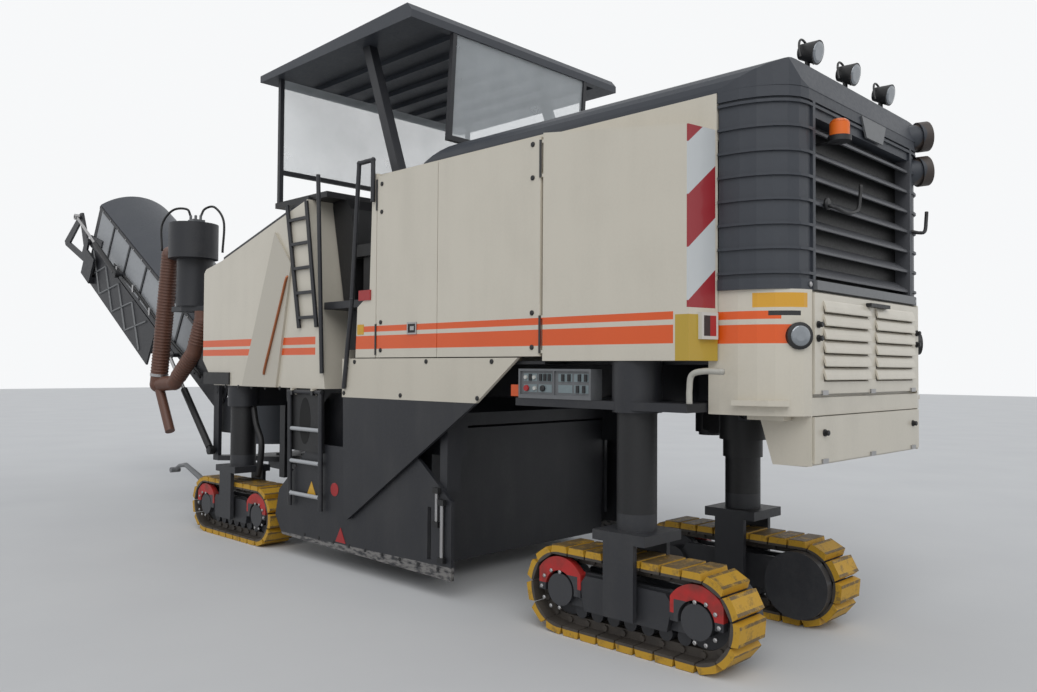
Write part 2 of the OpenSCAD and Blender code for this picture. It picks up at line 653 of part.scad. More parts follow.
// Crawler: one leg's lifting tube, yoke, track frame, wheels and guards at the place p
module leg(p, tube_top, outer) from_rear() translate(p) color(charcoal) {
    axle_z = pad_r;
    translate([0, 0, 700]) cylinder(h = tube_top - 700, d = leg_d);
    // yoke
    translate([-190, -185, 640]) cube([380, 370, 60]);
    both_sides() block([-110, 150, axle_z - 75], [110, 185, 641]);
    both_sides() {
        // side plate of the track frame
        slab_xz(60, 85) polygon([[-430, axle_z - 90], [-470, axle_z + 40], [-380, axle_z + 130],
            [400, axle_z + 130], [470, axle_z + 40], [430, axle_z - 90]]);
        pin_y(0, axle_z, 84, 151, 120);
        for (s = [-1, 1]) pin_y(s * wheel_span / 2, axle_z, 20, 120, 190);
    }
    block([-420, -61, axle_z - 60], [420, 61, axle_z + 100]);
    for (s = [-1, 1]) pin_y(s * wheel_span / 2, axle_z, -30, 30, 2 * tread_r - 2 * seat);
    for (i = [-3:3]) pin_y(i * 125, axle_z - tread_r + 45 + seat, -61, 61, 90);
    // drive housing on the inner side, cover plate and end guards on the outer one
    if (outer > 0) mirror([0, 1, 0]) drive_housing(axle_z);
    else drive_housing(axle_z);
    if (outer > 0) end_guards(axle_z);
    else mirror([0, 1, 0]) end_guards(axle_z);
}
module drive_housing(axle_z) {
    pin_y(-wheel_span / 2, axle_z, 84, 150, 300);
    pin_y(-wheel_span / 2, axle_z, 149, 215, 2 * chain_r - 4);
}
module end_guards(axle_z) {
    slab_xz(84, 126) polygon([[-300, axle_z - 95], [-335, axle_z + 60], [-290, axle_z + 118],
        [290, axle_z + 118], [335, axle_z + 60], [300, axle_z - 95]]);
    for (s = [-1, 1]) {
        slab_xz(84, 132) intersection() {
            translate([s * wheel_span / 2, axle_z]) difference() {
                circle(chain_r - 12);
                circle(118);
            }
            translate([s * wheel_span / 2 - 170, axle_z - 20]) square([340, 300]);
        }
        // hub of the end wheel
        pin_y(s * wheel_span / 2, axle_z, 119, 128, 200);
    }
}

// place and angle of a shoe at the distance s round the loop; in the curves the flat
// shoes are set in, so that their corners touch the outer radius
pad_half = shoe_pitch / 2 - 14;
curve_r = sqrt(pad_r * pad_r - pad_half * pad_half) - pad_t;
function loop_at(s) =
    s < wheel_span ? [[s - wheel_span / 2, -shoe_r], 0]
    : s < wheel_span + PI * shoe_r ? let (a = (s - wheel_span) / shoe_r * 180 / PI)
        [[wheel_span / 2 + curve_r * sin(a), -curve_r * cos(a)], a]
    : s < 2 * wheel_span + PI * shoe_r ? [[wheel_span / 2 - (s - wheel_span - PI * shoe_r), shoe_r], 180]
    : let (a = (s - 2 * wheel_span - PI * shoe_r) / shoe_r * 180 / PI)
        [[-wheel_span / 2 - curve_r * sin(a), curve_r * cos(a)], 180 + a];
// the loop of one track: chain, steel shoes and pads in one outline
module belt(p) from_rear() translate(p) translate([0, 0, pad_r]) color(pad_yellow) {
    slab_xz(-chain_w / 2, chain_w / 2) difference() {
        stadium(chain_r + 3);
        stadium(tread_r);
    }
    // bushings at the chain's joints
    for (i = [0:shoe_count - 1]) {
        q = loop_at(i * shoe_pitch);
        translate([q[0][0], 0, q[0][1]]) rotate([0, -q[1], 0]) pin_y(0, shoe_t + chain_t / 2, -60, 60, 36);
    }
    slab_xz(-pad_w / 2, pad_w / 2) for (i = [0:shoe_count - 1]) {
        q = loop_at((i + 0.5) * shoe_pitch);
        translate(q[0]) rotate(q[1]) polygon([[-pad_half - 8, shoe_t], [-pad_half - 8, 0], [-pad_half, -pad_t],
            [pad_half, -pad_t], [pad_half + 8, 0], [pad_half + 8, shoe_t]]);
    }
}
front_left_at = [front_axle_x, track_y, 0];
front_right_at = [front_axle_x, -track_y, 0];
rear_left_at = [rear_axle_x, track_y, 0];
rear_right_at = [rear_axle_x, -swung_in_y, 0];
module front_left_leg() leg(front_left_at, body_floor - 20, 1);
module front_right_leg() leg(front_right_at, body_floor - 20, -1);
module rear_left_leg() leg(rear_left_at, deck_top - 20, 1);
module rear_right_leg() leg(rear_right_at, arm_top - 30, -1);
module front_left_track() belt(front_left_at);
module front_right_track() belt(front_right_at);
module rear_left_track() belt(rear_left_at);
module rear_right_track() belt(rear_right_at);

// Swing arm that carries the rear right leg under the chassis
module swing_arm() from_rear() color(black) {
    arm_len = norm([arm_dx, arm_dy]);
    head_d = hang_d + 50;
    translate([arm_pivot_x, arm_pivot_y, 0]) rotate(atan2(arm_dy, arm_dx)) difference() {
        union() {
            translate([0, 0, arm_floor]) cylinder(h = arm_top - arm_floor, d = 240);
            translate([arm_len, 0, arm_floor]) cylinder(h = arm_top - arm_floor - 20, d = head_d);
            block([60, -90, arm_floor + 20], [arm_len - 60, 90, arm_top - 20]);
        }
        translate([0, 0, arm_floor - 1]) cylinder(h = 300, d = 120 + 2 * seat);
        translate([arm_len, 0, arm_floor - 1]) cylinder(h = 300, d = hang_d + 2 * seat);
    }
}
// Sleeve of the rear right leg, held in the arm's eye
module leg_guide() from_rear() color(black) translate([rear_axle_x, -swung_in_y, 0]) difference() {
    translate([0, 0, arm_floor - 120]) cylinder(h = arm_top - arm_floor + 120, d = hang_d);
    translate([0, 0, arm_floor - 121]) cylinder(h = 600, d = leg_d + 2 * seat);
}
// Sheathed hoses that are tied along the arm and hang down beside the leg
module leg_hoses() from_rear() color(black) {
    arm_len = norm([arm_dx, arm_dy]);
    translate([arm_pivot_x, arm_pivot_y, 0]) rotate(atan2(arm_dy, arm_dx))
        for (z = [1240, 1325]) bar([130, 130 + seat, z], [arm_len - 190, 130 + seat, z], 80);
}

// the conveyor's own frame: X along the belt, Z square to it, origin on the luffing pins
module on_belt() translate([luff_x, 0, luff_z]) rotate([0, -belt_rise, 0]) children();

// Slewing frame: lower turntable, uprights beside the trough and the upper arms
module slew_frame() from_rear() color(charcoal) {
    difference() {
        union() {
            translate([slew_x, 0, 585]) cylinder(h = 55, d = 560);
            both_sides() {
                hull() {
                    translate([slew_x, 120, 585]) cylinder(h = 55, d = 200, $fn = 32);
                    block([luff_x - 60, lug_in, 585], [luff_x + 60, lug_out, 640]);
                }
                block([luff_x - 60, lug_in, 586], [luff_x + 60, lug_out, 2330]);
                hull() {
                    block([luff_x - 60, 520, 2280], [luff_x + 60, lug_out, 2340]);
                    translate([slew_x, 0, 2280]) cylinder(h = 60, d = 240, $fn = 32);
                }
            }
            translate([slew_x, 0, 2205]) cylinder(h = 80, d = 100);
        }
        translate([slew_x, 0, 584]) cylinder(h = 60, d = 90 + 2 * seat);
        pin_y(luff_x, luff_z, -lug_out - 1, lug_out + 1, 80 + 2 * seat);
    }
    both_sides() pin_y(luff_foot[0], luff_foot[1], lug_out - 1, side_y + 32, cyl_pin_d);
    // bracket of the suction unit
    translate([0, 0, 2280]) linear_extrude(fan_floor - 2280)
        polygon([[luff_x - 60, lug_in], [luff_x + 450, lug_in], [luff_x + 450, 930], [luff_x + 200, 930], [luff_x - 60, 700]]);
}

// Suction unit for the dust of the belts: a fan casing and its drum on a bracket of the slewing frame
fan_at = [slew_x + 650, 750];
drum_at = [slew_x + 590, 800];
fan_floor = 2340;
drum_floor = 2880;
module suction_unit() from_rear() color(charcoal) {
    translate([fan_at[0], fan_at[1], fan_floor + seat]) cylinder(h = drum_floor - fan_floor + 5, d = 400);
    difference() {
        translate([drum_at[0], drum_at[1], drum_floor]) cylinder(h = 400, d = 540);
        translate([drum_at[0], drum_at[1], drum_floor + 300]) cylinder(h = 101, d = 500);
    }
    // spigot of the long hose
    bar(hose_root - [170, 20.4, 0], hose_root - [seat, 0, 0], 150);
}

hose_d = 190;
hose_top = [slew_x + 1060, 860, drum_floor + 90];
hose_root = hose_top - [100, 12, 0];
clamp_at = [slew_x + 1240, 900, 1440];
short_hose = [[slew_x + 430, 760, 2280 - seat], [slew_x + 430, 760, 2170], [slew_x + 550, 800, 1800], [slew_x + 900, 860, 1460], clamp_at];
// Suction hoses: a long and a short corrugated hose that meet in a clamp below the fan
module suction_hoses() from_rear() color("#6d3f2c") {
    bar(hose_root, hose_top, hose_d);
    translate(hose_top) sphere(d = hose_d + 5);
    bar(hose_top, clamp_at, hose_d);
    bent_bar(short_hose, hose_d - 20);
    translate(clamp_at) sphere(d = hose_d + 5);
    bar(clamp_at, [slew_x + 900, 900, 900], 110);
}

// Main section of the discharge conveyor: walls with flanges and stiffeners, belt and ribs
module conveyor_main() from_rear() color(charcoal) {
    on_belt() {
        both_sides() {
            block([60, belt_half_w - 25, wall_low], [main_len, belt_half_w, wall_top]);
            block([100, belt_half_w - 1, wall_top - 45], [main_len - 20, belt_half_w + 14, wall_top - 5]);
            for (i = [0:5]) block([700 + i * 640, belt_half_w - 1, wall_low + 60], [740 + i * 640, belt_half_w + 14, wall_top - 44]);
        }
        block([60, -belt_half_w + 24, -60], [main_len - 60, belt_half_w - 24, 40]);
        for (u = [400:600:main_len]) block([u, -belt_half_w + 24, wall_low], [u + 60, belt_half_w - 24, wall_low + 60]);
        // plates that carry the fold hinge
        both_sides() difference() {
            slab_xz(belt_half_w - 1, belt_half_w + 20)
                polygon([[main_len - 400, wall_low], [main_len - 400, wall_low + 200], [main_len + 60, wall_low + 90],
                    [main_len + 90, wall_low - 40], [fold_u, fold_w - 50], [main_len - 60, wall_low - 60]]);
            pin_y(fold_u, fold_w, belt_half_w - 2, belt_half_w + 21, 60 + 2 * seat);
        }
        both_sides() pin_y(fold_foot[0], fold_foot[1], belt_half_w - 1, side_y + 32, cyl_pin_d);
        both_sides() pin_y(0, 0, belt_half_w - 1, lug_out + 5, 80);
        both_sides() pin_y(luff_pin_u, luff_pin_w, belt_half_w - 1, side_y + 32, cyl_pin_d);
        both_sides() slab_xz(belt_half_w - 25, belt_half_w)
            polygon([[-100, -100], [61, wall_low], [61, wall_top], [-60, 200], [-100, 60]]);
    }
    both_sides() block([slew_x, belt_half_w - 30, 900], [luff_x + 60, belt_half_w - 10, 1300]);
}

cover_r = 760;
cover_mid = wall_top - 550;
// Covers over the belt: arched sheets between the walls
module conveyor_covers() from_rear() color(charcoal) on_belt() for (i = [0:2]) {
    u0 = 900 + i * (main_len - 900) / 3;
    slab_yz(u0 + seat, u0 + (main_len - 900) / 3) difference() {
        intersection() {
            translate([0, cover_mid]) circle(cover_r, $fn = 96);
            translate([-belt_half_w, wall_top + seat]) square([2 * belt_half_w, 400]);
        }
        translate([0, cover_mid]) circle(cover_r - 20, $fn = 96);
    }
}

// Feed hopper: the round tub over the slewing axis that passes the stream to the belt
module feed_hopper() from_rear() color(charcoal) difference() {
    hopper_d = 2 * (belt_half_w - 30 - seat);
    translate([slew_x, 0, 800]) cylinder(h = 500, d = hopper_d);
    translate([slew_x, 0, 830]) cylinder(h = 500, d = hopper_d - 40);
    block([slew_x + 250, -600, 700], [slew_x + 700, 600, 1400]);
}

// End section, folded under the main one
module conveyor_tip() from_rear() color(charcoal) on_belt() {
    top = wall_low - 24;
    low = top - tip_depth + 20;
    tail = fold_u - tip_len;
    both_sides() {
        block([tail, tip_half_w - 25, low], [fold_u - 60, tip_half_w, top]);
        // open arm that the fold cylinder pulls
        slab_xz(arm_in, arm_in + 30) translate([fold_u, fold_w]) difference() {
            polygon([[-60, 20], [-20, 50], [20, 50], [410, 290], [480, 250], [850, -380], [780, -420], [-60, -300]]);
            polygon([[80, -100], [400, 150], [640, -310], [80, -230]]);
        }
        block([fold_u - 400, tip_half_w - 1, low + 60], [fold_u - 70, arm_in + 30, low + 160]);
        block([fold_u - 400, arm_in, low + 60], [fold_u - 40, arm_in + 30, fold_w - 100]);
        pin_y(fold_u, fold_w, belt_half_w + 1, arm_in + 31, 60);
        // pin of the fold cylinder
        pin_y(fold_eye[0], fold_eye[1], arm_in + 29, side_y + 32, fold_pin_d);
    }
    block([tail + 80, 24 - tip_half_w, top - 320], [fold_u - 200, tip_half_w - 24, top - 240]);
    for (u = [tail + 115, fold_u - 260]) pin_y(u, top - 280, 24 - tip_half_w, tip_half_w - 24, 200);
    for (i = [0:3]) block([tail + 300 + i * 550, 24 - tip_half_w, low], [tail + 360 + i * 550, tip_half_w - 24, low + 50]);
}

// A hydraulic cylinder's barrel from its foot pin, drawn along X
module barrel(length, d) {
    rod_d = 0.55 * d;
    difference() {
        union() {
            rotate([0, 90, 0]) translate([0, 0, 45]) cylinder(h = length - 45, d = d);
            pin_y(0, 0, -30, 30, 100);
        }
        rotate([0, 90, 0]) translate([0, 0, 70]) cylinder(h = length, d = rod_d + 2 * seat);
        pin_y(0, 0, -31, 31, cyl_pin_d + 2 * seat);
    }
}
// Its rod, from inside the barrel to the eye, which lies at the distance l and has the bore eye_bore
module rod(l, from, d, eye_bore) {
    eye_d = eye_bore + 46;
    difference() {
        union() {
            rotate([0, 90, 0]) translate([0, 0, from]) cylinder(h = l - from - eye_d / 2 + 10, d = 0.55 * d);
            pin_y(l, 0, -30, 30, eye_d);
        }
        pin_y(l, 0, -31, 31, eye_bore);
    }
}
// places both cylinders of a pair beside the trough, aimed from the foot at the eye
module aimed(foot, eye) both_sides() translate([foot[0], side_y, foot[1]])
    rotate([0, -atan2(eye[1] - foot[1], eye[0] - foot[0]), 0]) children();

// Luffing cylinders beside the trough
luff_len = norm(luff_eye - luff_foot);
module luff_barrels() from_rear() color(black) aimed(luff_foot, luff_eye) barrel(0.62 * luff_len, 80);
module luff_rods() from_rear() color(steel) aimed(luff_foot, luff_eye) rod(luff_len, 0.3 * luff_len, 80, cyl_pin_d + 10);

// Fold cylinders along the main section
fold_span = norm(fold_eye - fold_foot);
module fold_barrels() from_rear() color(black) on_belt() aimed(fold_foot, fold_eye) barrel(935, 70);
module fold_rods() from_rear() color(steel) on_belt() aimed(fold_foot, fold_eye) rod(fold_span, 900, 70, fold_pin_d + 2 * seat);

// Folding ladders at the platform's entrances
module ladder(side) {
    y0 = side * ladder_y;
    for (x = [4100, 4580]) bar([x, y0, ladder_z], [x - 20, y0, 450], 40);
    for (z = [560, 840, 1120]) bar([4090, y0, z], [4570, y0, z], 34);
    bar([4080, y0, ladder_z], [4600, y0, ladder_z], ladder_pin_d);
}
module ladder_left() from_rear() color(charcoal) ladder(1);
module ladder_right() from_rear() color(charcoal) ladder(-1);

chassis();
engine_block();
hood();
rear_grille();
rear_body();
side_boxes();
bay_frame();
front_body();
platform();
operator_station();
railings();
drum_housing();
scraper();
side_skirts();
primary_conveyor();
lamps();
control_panel();
canopy_frame();
canopy_roof();
canopy_glass();
milling_drum();
side_plate_left();
side_plate_right();
ladder_left();
ladder_right();
left_front_door();
left_rear_door();
right_front_door();
right_rear_door();
louvre_door();
storage_flap();
front_left_leg();
front_left_track();
front_right_leg();
front_right_track();
rear_left_leg();
rear_left_track();
rear_right_leg();
rear_right_track();
swing_arm();
leg_hoses();
leg_guide();
slew_frame();
suction_unit();
suction_hoses();
conveyor_main();
conveyor_covers();
feed_hopper();
conveyor_tip();
luff_barrels();
luff_rods();
fold_barrels();
fold_rods();
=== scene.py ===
# Cold planer milling machine on four crawler tracks: the finish of every panel and the small
# fittings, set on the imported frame. X runs forward, Y to the machine's left, Z up, in metres.
import math

import bpy
import numpy as np
from mathutils import Matrix


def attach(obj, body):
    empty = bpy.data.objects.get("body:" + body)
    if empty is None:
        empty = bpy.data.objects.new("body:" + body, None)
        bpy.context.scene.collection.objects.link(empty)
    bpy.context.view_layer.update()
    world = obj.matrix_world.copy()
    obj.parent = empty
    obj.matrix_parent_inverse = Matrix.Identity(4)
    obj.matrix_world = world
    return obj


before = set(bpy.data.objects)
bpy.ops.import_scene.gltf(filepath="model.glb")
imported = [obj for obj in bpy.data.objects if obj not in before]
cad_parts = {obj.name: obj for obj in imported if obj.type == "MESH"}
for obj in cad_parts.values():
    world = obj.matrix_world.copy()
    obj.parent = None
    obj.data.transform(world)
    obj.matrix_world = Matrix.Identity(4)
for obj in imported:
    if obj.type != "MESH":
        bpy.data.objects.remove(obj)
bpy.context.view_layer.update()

# Camera and light
# The camera stands off the machine's left rear corner at eye height. The light is an overcast
# sky with one broad sun from the left and a weak one that fills the shadows from the right.
MID_X = 6.091            # distance from the machine's rear face to the origin
scene = bpy.context.scene
scene.view_settings.view_transform = "Standard"
CAMERA_RIGHT = (-0.71720, -0.69684, 0.00633)
CAMERA_UP = (-0.01365, 0.02313, 0.99964)
CAMERA_AHEAD = (0.69673, -0.71686, 0.02609)
EYE = (-2.163 - MID_X, 5.319, 1.65)
FOCAL_PX = 868.0
IMAGE_W_PX = 1037.0
camera_data = bpy.data.cameras.new("camera")
camera_data.sensor_width = 36.0
camera_data.lens = FOCAL_PX / IMAGE_W_PX * camera_data.sensor_width
camera_data.clip_end = 200.0
camera = bpy.data.objects.new("camera", camera_data)
camera.matrix_world = Matrix([[CAMERA_RIGHT[i], CAMERA_UP[i], -CAMERA_AHEAD[i], EYE[i]] for i in range(3)]
                             + [[0.0, 0.0, 0.0, 1.0]])
scene.collection.objects.link(camera)
scene.camera = camera
AHEAD, BACK = (1.0, 0.0, 0.0), (-1.0, 0.0, 0.0)
LEFT, UP = (0.0, 1.0, 0.0), (0.0, 0.0, 1.0)


def unit(vector):
    """The vector at length one."""
    return np.asarray(vector, float) / np.linalg.norm(vector)


def sun(name, strength, place, angle):
    """A distant lamp that shines from place towards the origin."""
    data = bpy.data.lights.new(name, "SUN")
    data.energy = strength
    data.angle = angle
    aim = unit(place)
    side = unit(np.cross(UP, aim))
    top = np.cross(aim, side)
    made = bpy.data.objects.new(name, data)
    made.matrix_world = Matrix([[side[i], top[i], aim[i], place[i]] for i in range(3)]
                               + [[0.0, 0.0, 0.0, 1.0]])
    scene.collection.objects.link(made)


sun("sky_lamp", 1.1, (-8.0, 9.0, 12.0), 0.9)
sun("fill_lamp", 0.15, (-10.0, -6.0, 5.0), 1.2)


# Floor and sky
# A pale matt floor that takes the machine's soft shadow, under a white sky; both are staging.
class Term:
    """A shader value. Operators add Math nodes, and node() adds any other kind."""

    def __init__(self, tree, socket):
        self.tree = tree
        self.socket = socket

    def put(self, slot, value):
        """Links a Term to a socket, or writes a plain number or colour on it."""
        if isinstance(value, Term):
            self.tree.links.new(value.socket, slot)
        elif slot.type == "RGBA" and len(value) == 3:
            slot.default_value = (*value, 1.0)
        else:
            slot.default_value = value

    def node(self, kind, settings, *values, output=0, **named):
        """One node: its settings, then the values or links of its sockets, the first ones in
        order and the rest by name with _ for a space. Gives one output, by number or name."""
        made = self.tree.nodes.new(kind)
        for key, value in settings.items():
            setattr(made, key, value)
        slots = [slot for slot in made.inputs if slot.enabled]
        for slot, value in zip(slots, values):
            self.put(slot, value)
        for key, value in named.items():
            self.put(next(slot for slot in slots if slot.name == key.replace("_", " ")), value)
        shown = [slot for slot in made.outputs if slot.enabled]
        found = shown[output] if isinstance(output, int) else next(s for s in shown if s.name == output)
        return Term(self.tree, found)

    def math(self, operation, *values, clamp=False):
        return self.node("ShaderNodeMath", {"operation": operation, "use_clamp": clamp}, *values)

    def __add__(self, other): return self.math("ADD", self, other)
    def __radd__(self, other): return self.math("ADD", other, self)
    def __sub__(self, other): return self.math("SUBTRACT", self, other)
    def __rsub__(self, other): return self.math("SUBTRACT", other, self)
    def __mul__(self, other): return self.math("MULTIPLY", self, other)
    def __rmul__(self, other): return self.math("MULTIPLY", other, self)
    def __abs__(self): return self.math("ABSOLUTE", self)
    def __lt__(self, other): return self.math("LESS_THAN", self, other)
    def __gt__(self, other): return self.math("GREATER_THAN", self, other)
    def __mod__(self, other): return self.math("FLOORED_MODULO", self, other)
    def clamped(self): return self.math("ADD", self, 0.0, clamp=True)
    def at_least(self, low): return self.math("MAXIMUM", self, low)
    def root(self): return self.math("SQRT", self)

    def between(self, low, high):
        """1 where the value lies between two others, else 0."""
        return (self > low) * (self < high)

    def ramp(self, low, high):
        """Rises from 0 at low to 1 at high, smoothly and clamped at both ends."""
        return self.node("ShaderNodeMapRange", {"interpolation_type": "SMOOTHSTEP"}, Value=self,
                         From_Min=low, From_Max=high)

    def mix(self, first, second):
        """Blends two colours by this value, from 0 to 1."""
        return self.node("ShaderNodeMix", {"data_type": "RGBA"}, self, first, second)

    def noise(self, scale, detail=3.0, stretch=(1.0, 1.0, 1.0)):
        """Cloudy noise from 0 to 1 at this place, with a scale per metre, stretched along the axes."""
        place = self.node("ShaderNodeMapping", {}, Vector=self, Scale=stretch)
        return self.node("ShaderNodeTexNoise", {}, Vector=place, Scale=scale, Detail=detail)

    def bump(self, distance):
        """A normal that follows this height, from 0 to 1, over a distance in metres."""
        return self.node("ShaderNodeBump", {}, Height=self, Distance=distance, output="Normal")


def material(name, look):
    """A material whose sockets come from look(place, x, y, z), with x from the rear face."""
    made = bpy.data.materials.new(name)
    made.use_nodes = True
    shader = next(n for n in made.node_tree.nodes if n.type == "BSDF_PRINCIPLED")
    start = Term(made.node_tree, None)
    place = start.node("ShaderNodeTexCoord", {}, output="Object")
    x, y, z = (place.node("ShaderNodeSeparateXYZ", {}, place, output=axis) for axis in "XYZ")
    for key, value in look(place, x + MID_X, y, z).items():
        start.put(shader.inputs[key], value)
    return made


def floor_look(place, x, y, z):
    return {"Base Color": place.noise(0.8, 4.0).mix((0.60, 0.60, 0.60), (0.68, 0.68, 0.67)),
            "Roughness": 0.9}


FLOOR_HALF = 60.0
floor_mesh = bpy.data.meshes.new("floor")
floor_mesh.from_pydata([(-FLOOR_HALF, -FLOOR_HALF, 0.0), (FLOOR_HALF, -FLOOR_HALF, 0.0),
                        (FLOOR_HALF, FLOOR_HALF, 0.0), (-FLOOR_HALF, FLOOR_HALF, 0.0)], [], [(0, 1, 2, 3)])
floor_mesh.materials.append(material("pale_floor", floor_look))
floor = bpy.data.objects.new("floor", floor_mesh)
scene.collection.objects.link(floor)

world = bpy.data.worlds.new("sky")
scene.world = world
world.use_nodes = True
background = next(n for n in world.node_tree.nodes if n.type == "BACKGROUND")
sky = Term(world.node_tree, None)
seen = sum((sky.node("ShaderNodeLightPath", {}, output=kind)
            for kind in ("Is Camera Ray", "Is Glossy Ray", "Is Transmission Ray")), 0.0).clamped()
sky.put(background.inputs["Color"], seen.mix((0.80, 0.84, 0.90), (0.93, 0.94, 0.95)))
sky.put(background.inputs["Strength"], seen * 0.4 + 0.6)


# Chassis and running gear frames
# Welded steel in charcoal paint, chipped and dusted; it is walked on, rubbed and washed down,
# so pale dust lies in streaks and the gloss is broken.
CHARCOAL = (0.015, 0.016, 0.020)
CHARCOAL_DUST = (0.065, 0.063, 0.061)


def charcoal_paint(place, x, y, z, base=CHARCOAL, dust=CHARCOAL_DUST, dusty=0.5):
    cloud = place.noise(2.5, 6.0)
    fine = place.noise(45.0, 5.0)
    streak = place.noise(6.0, 4.0, stretch=(1.0, 1.0, 0.2))
    worn = (cloud * 0.5 + fine * 0.35 + streak * 0.4).ramp(0.55, 1.0)
    return {"Base Color": (worn * dusty).mix(base, dust), "Roughness": fine * 0.25 + 0.38,
            "Normal": (fine * 0.4 + cloud * 0.6).bump(0.0015)}


def dress(paint, *names):
    """Puts a material on the CAD nodes of these names."""
    for name in names:
        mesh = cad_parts[name].data
        mesh.materials.clear()
        mesh.materials.append(paint)


frame_paint = material("frame_paint", charcoal_paint)
dress(frame_paint, "chassis", "platform", "railings", "drum_housing", "scraper", "primary_conveyor",
      "canopy_frame", "slew_frame", "suction_unit", "conveyor_tip")


def black_look(place, x, y, z):
    return charcoal_paint(place, x, y, z, (0.007, 0.007, 0.008), (0.035, 0.034, 0.032), 0.5)


black_paint = material("black_paint", black_look)
dress(black_paint, "operator_station", "swing_arm", "leg_guide", "leg_hoses", "luff_barrels",
      "fold_barrels")


def steel_look(place, x, y, z):
    fine = place.noise(80.0, 4.0)
    return {"Base Color": place.noise(5.0, 4.0).mix((0.46, 0.46, 0.47), (0.33, 0.32, 0.31)),
            "Metallic": 0.9, "Roughness": fine * 0.2 + 0.25}


steel = material("steel", steel_look)
dress(steel, "luff_rods", "fold_rods", "engine_block")

# Body panels and doors
# Pressed steel panels in cream gloss paint with two orange stripes along the machine's sides,
# dusty towards their lower edges. What stands out beyond the panels is the doors' black hinges.
CREAM = (0.66, 0.61, 0.51)
CREAM_DUST = (0.50, 0.46, 0.38)
ORANGE = (0.80, 0.105, 0.006)
BLACK = (0.006, 0.006, 0.007)
SIDE_Y = 1.25            # outer face of the side panels
PROUD = 0.0005           # what stands further out than this beyond a face is no part of it
PANEL_T = 0.012
THIN_STRIPE = (1.931, 1.976)
THICK_STRIPE = (1.797, 1.901)
STRIPE_REAR = 0.59


def cream_panel(place, x, y, z, bands=()):
    """Cream paint with dust; bands are (low, high, first x, last x) of the orange stripes."""
    cloud = place.noise(3.0, 5.0)
    fine = place.noise(60.0, 4.0)
    streak = place.noise(4.0, 4.0, stretch=(1.0, 1.0, 0.15))
    dust = (cloud * 0.5 + streak * 0.8 + fine * 0.3).ramp(0.65, 1.15) * 0.35
    low_dust = (1.9 - z).ramp(-0.2, 0.5) * 0.30
    colour = (dust + low_dust).clamped().mix(CREAM, CREAM_DUST)
    outer = abs(y) > SIDE_Y - PANEL_T
    for low, high, first, last in bands:
        band = z.between(low, high) * x.between(first, last) * outer
        colour = band.mix(colour, cloud.mix(ORANGE, (0.70, 0.085, 0.005)))
    colour = (abs(y) > SIDE_Y + PROUD).mix(colour, BLACK) if bands else colour
    return {"Base Color": colour, "Roughness": fine * 0.16 + 0.30, "Coat Weight": 0.25,
            "Normal": (cloud * 0.6 + fine * 0.1).bump(0.0012)}


SIDE_BANDS = ((*THIN_STRIPE, STRIPE_REAR, 3.59), (*THICK_STRIPE, STRIPE_REAR, 3.61))


def door_look(place, x, y, z):
    return cream_panel(place, x, y, z, SIDE_BANDS)


dress(material("door_paint", door_look), "left_front_door", "left_rear_door", "right_front_door",
      "right_rear_door", "bay_frame")
plain_paint = material("plain_paint", cream_panel)


def tube_faces(count, rows, sides):
    """Faces of count closed tubes of rows rings each: the walls, then both flat ends."""
    index = np.arange(count * rows * sides).reshape(count, rows, sides)
    after = np.roll(index, -1, axis=2)
    walls = np.stack([index[:, :-1], index[:, 1:], after[:, 1:], after[:, :-1]], -1).reshape(-1, 4)
    return [walls, index[:, 0], index[:, -1, ::-1]]


def circle(sides):
    """The angles of a ring's points as columns of cosines and sines."""
    angle = np.arange(sides) * 2.0 * math.pi / sides
    return np.cos(angle)[:, None], np.sin(angle)[:, None]


def turned(places, axis, profile, sides=12):
    """A turned body at each place: every row (height, radius) of the profile is a ring of points
    place + height · axis + radius (cos a · side + sin a · top), closed by flat ends."""
    axis = unit(axis)
    side = unit(np.cross(axis, UP if abs(axis[2]) < 0.9 else AHEAD))
    cosine, sine = circle(sides)
    ring = cosine * side + sine * np.cross(side, axis)
    rows = np.asarray(profile, float)
    body = rows[:, 0, None, None] * axis + rows[:, 1, None, None] * ring
    places = np.asarray(places, float).reshape(-1, 3)
    points = places[:, None, None] + body
    return points.reshape(-1, 3), tube_faces(len(places), len(rows), sides)


def slabs(*boxes):
    """Blocks, each given by two opposite corners as six numbers."""
    corners = np.asarray(boxes, float).reshape(-1, 2, 3)
    pick = np.array([[0, 0, 0], [1, 0, 0], [1, 1, 0], [0, 1, 0],
                     [0, 0, 1], [1, 0, 1], [1, 1, 1], [0, 1, 1]])
    walls = np.array([[0, 3, 2, 1], [4, 5, 6, 7], [0, 1, 5, 4],
                      [1, 2, 6, 5], [2, 3, 7, 6], [3, 0, 4, 7]])
    points = corners[:, pick, np.arange(3)]
    return points.reshape(-1, 3), [(walls + 8 * np.arange(len(corners))[:, None, None]).reshape(-1, 4)]


def plate(outline, low, high, across="y"):
    """A flat outline, given by its two other axes in x, y, z order, drawn out along one axis."""
    normal = "xyz".index(across)
    flat = np.asarray(outline, float)
    first, second = (normal + 1) % 3, (normal + 2) % 3
    flat = flat[:, ::-1] if across == "y" else flat
    after = np.roll(flat, -1, axis=0)
    if np.sum(flat[:, 0] * after[:, 1] - flat[:, 1] * after[:, 0]) < 0.0:
        flat = flat[::-1]
    count = len(flat)
    points = np.empty((2, count, 3))
    points[:, :, first] = flat[:, 0]
    points[:, :, second] = flat[:, 1]
    points[0, :, normal] = low
    points[1, :, normal] = high
    index = np.arange(count)
    turn = np.roll(index, -1)
    walls = np.stack([index, turn, turn + count, index + count], 1)
    return points.reshape(-1, 3), [walls, index[None, ::-1], index[None] + count]


def same(shape):
    """The shape as it is, for the left side of a loop over both sides."""
    return shape


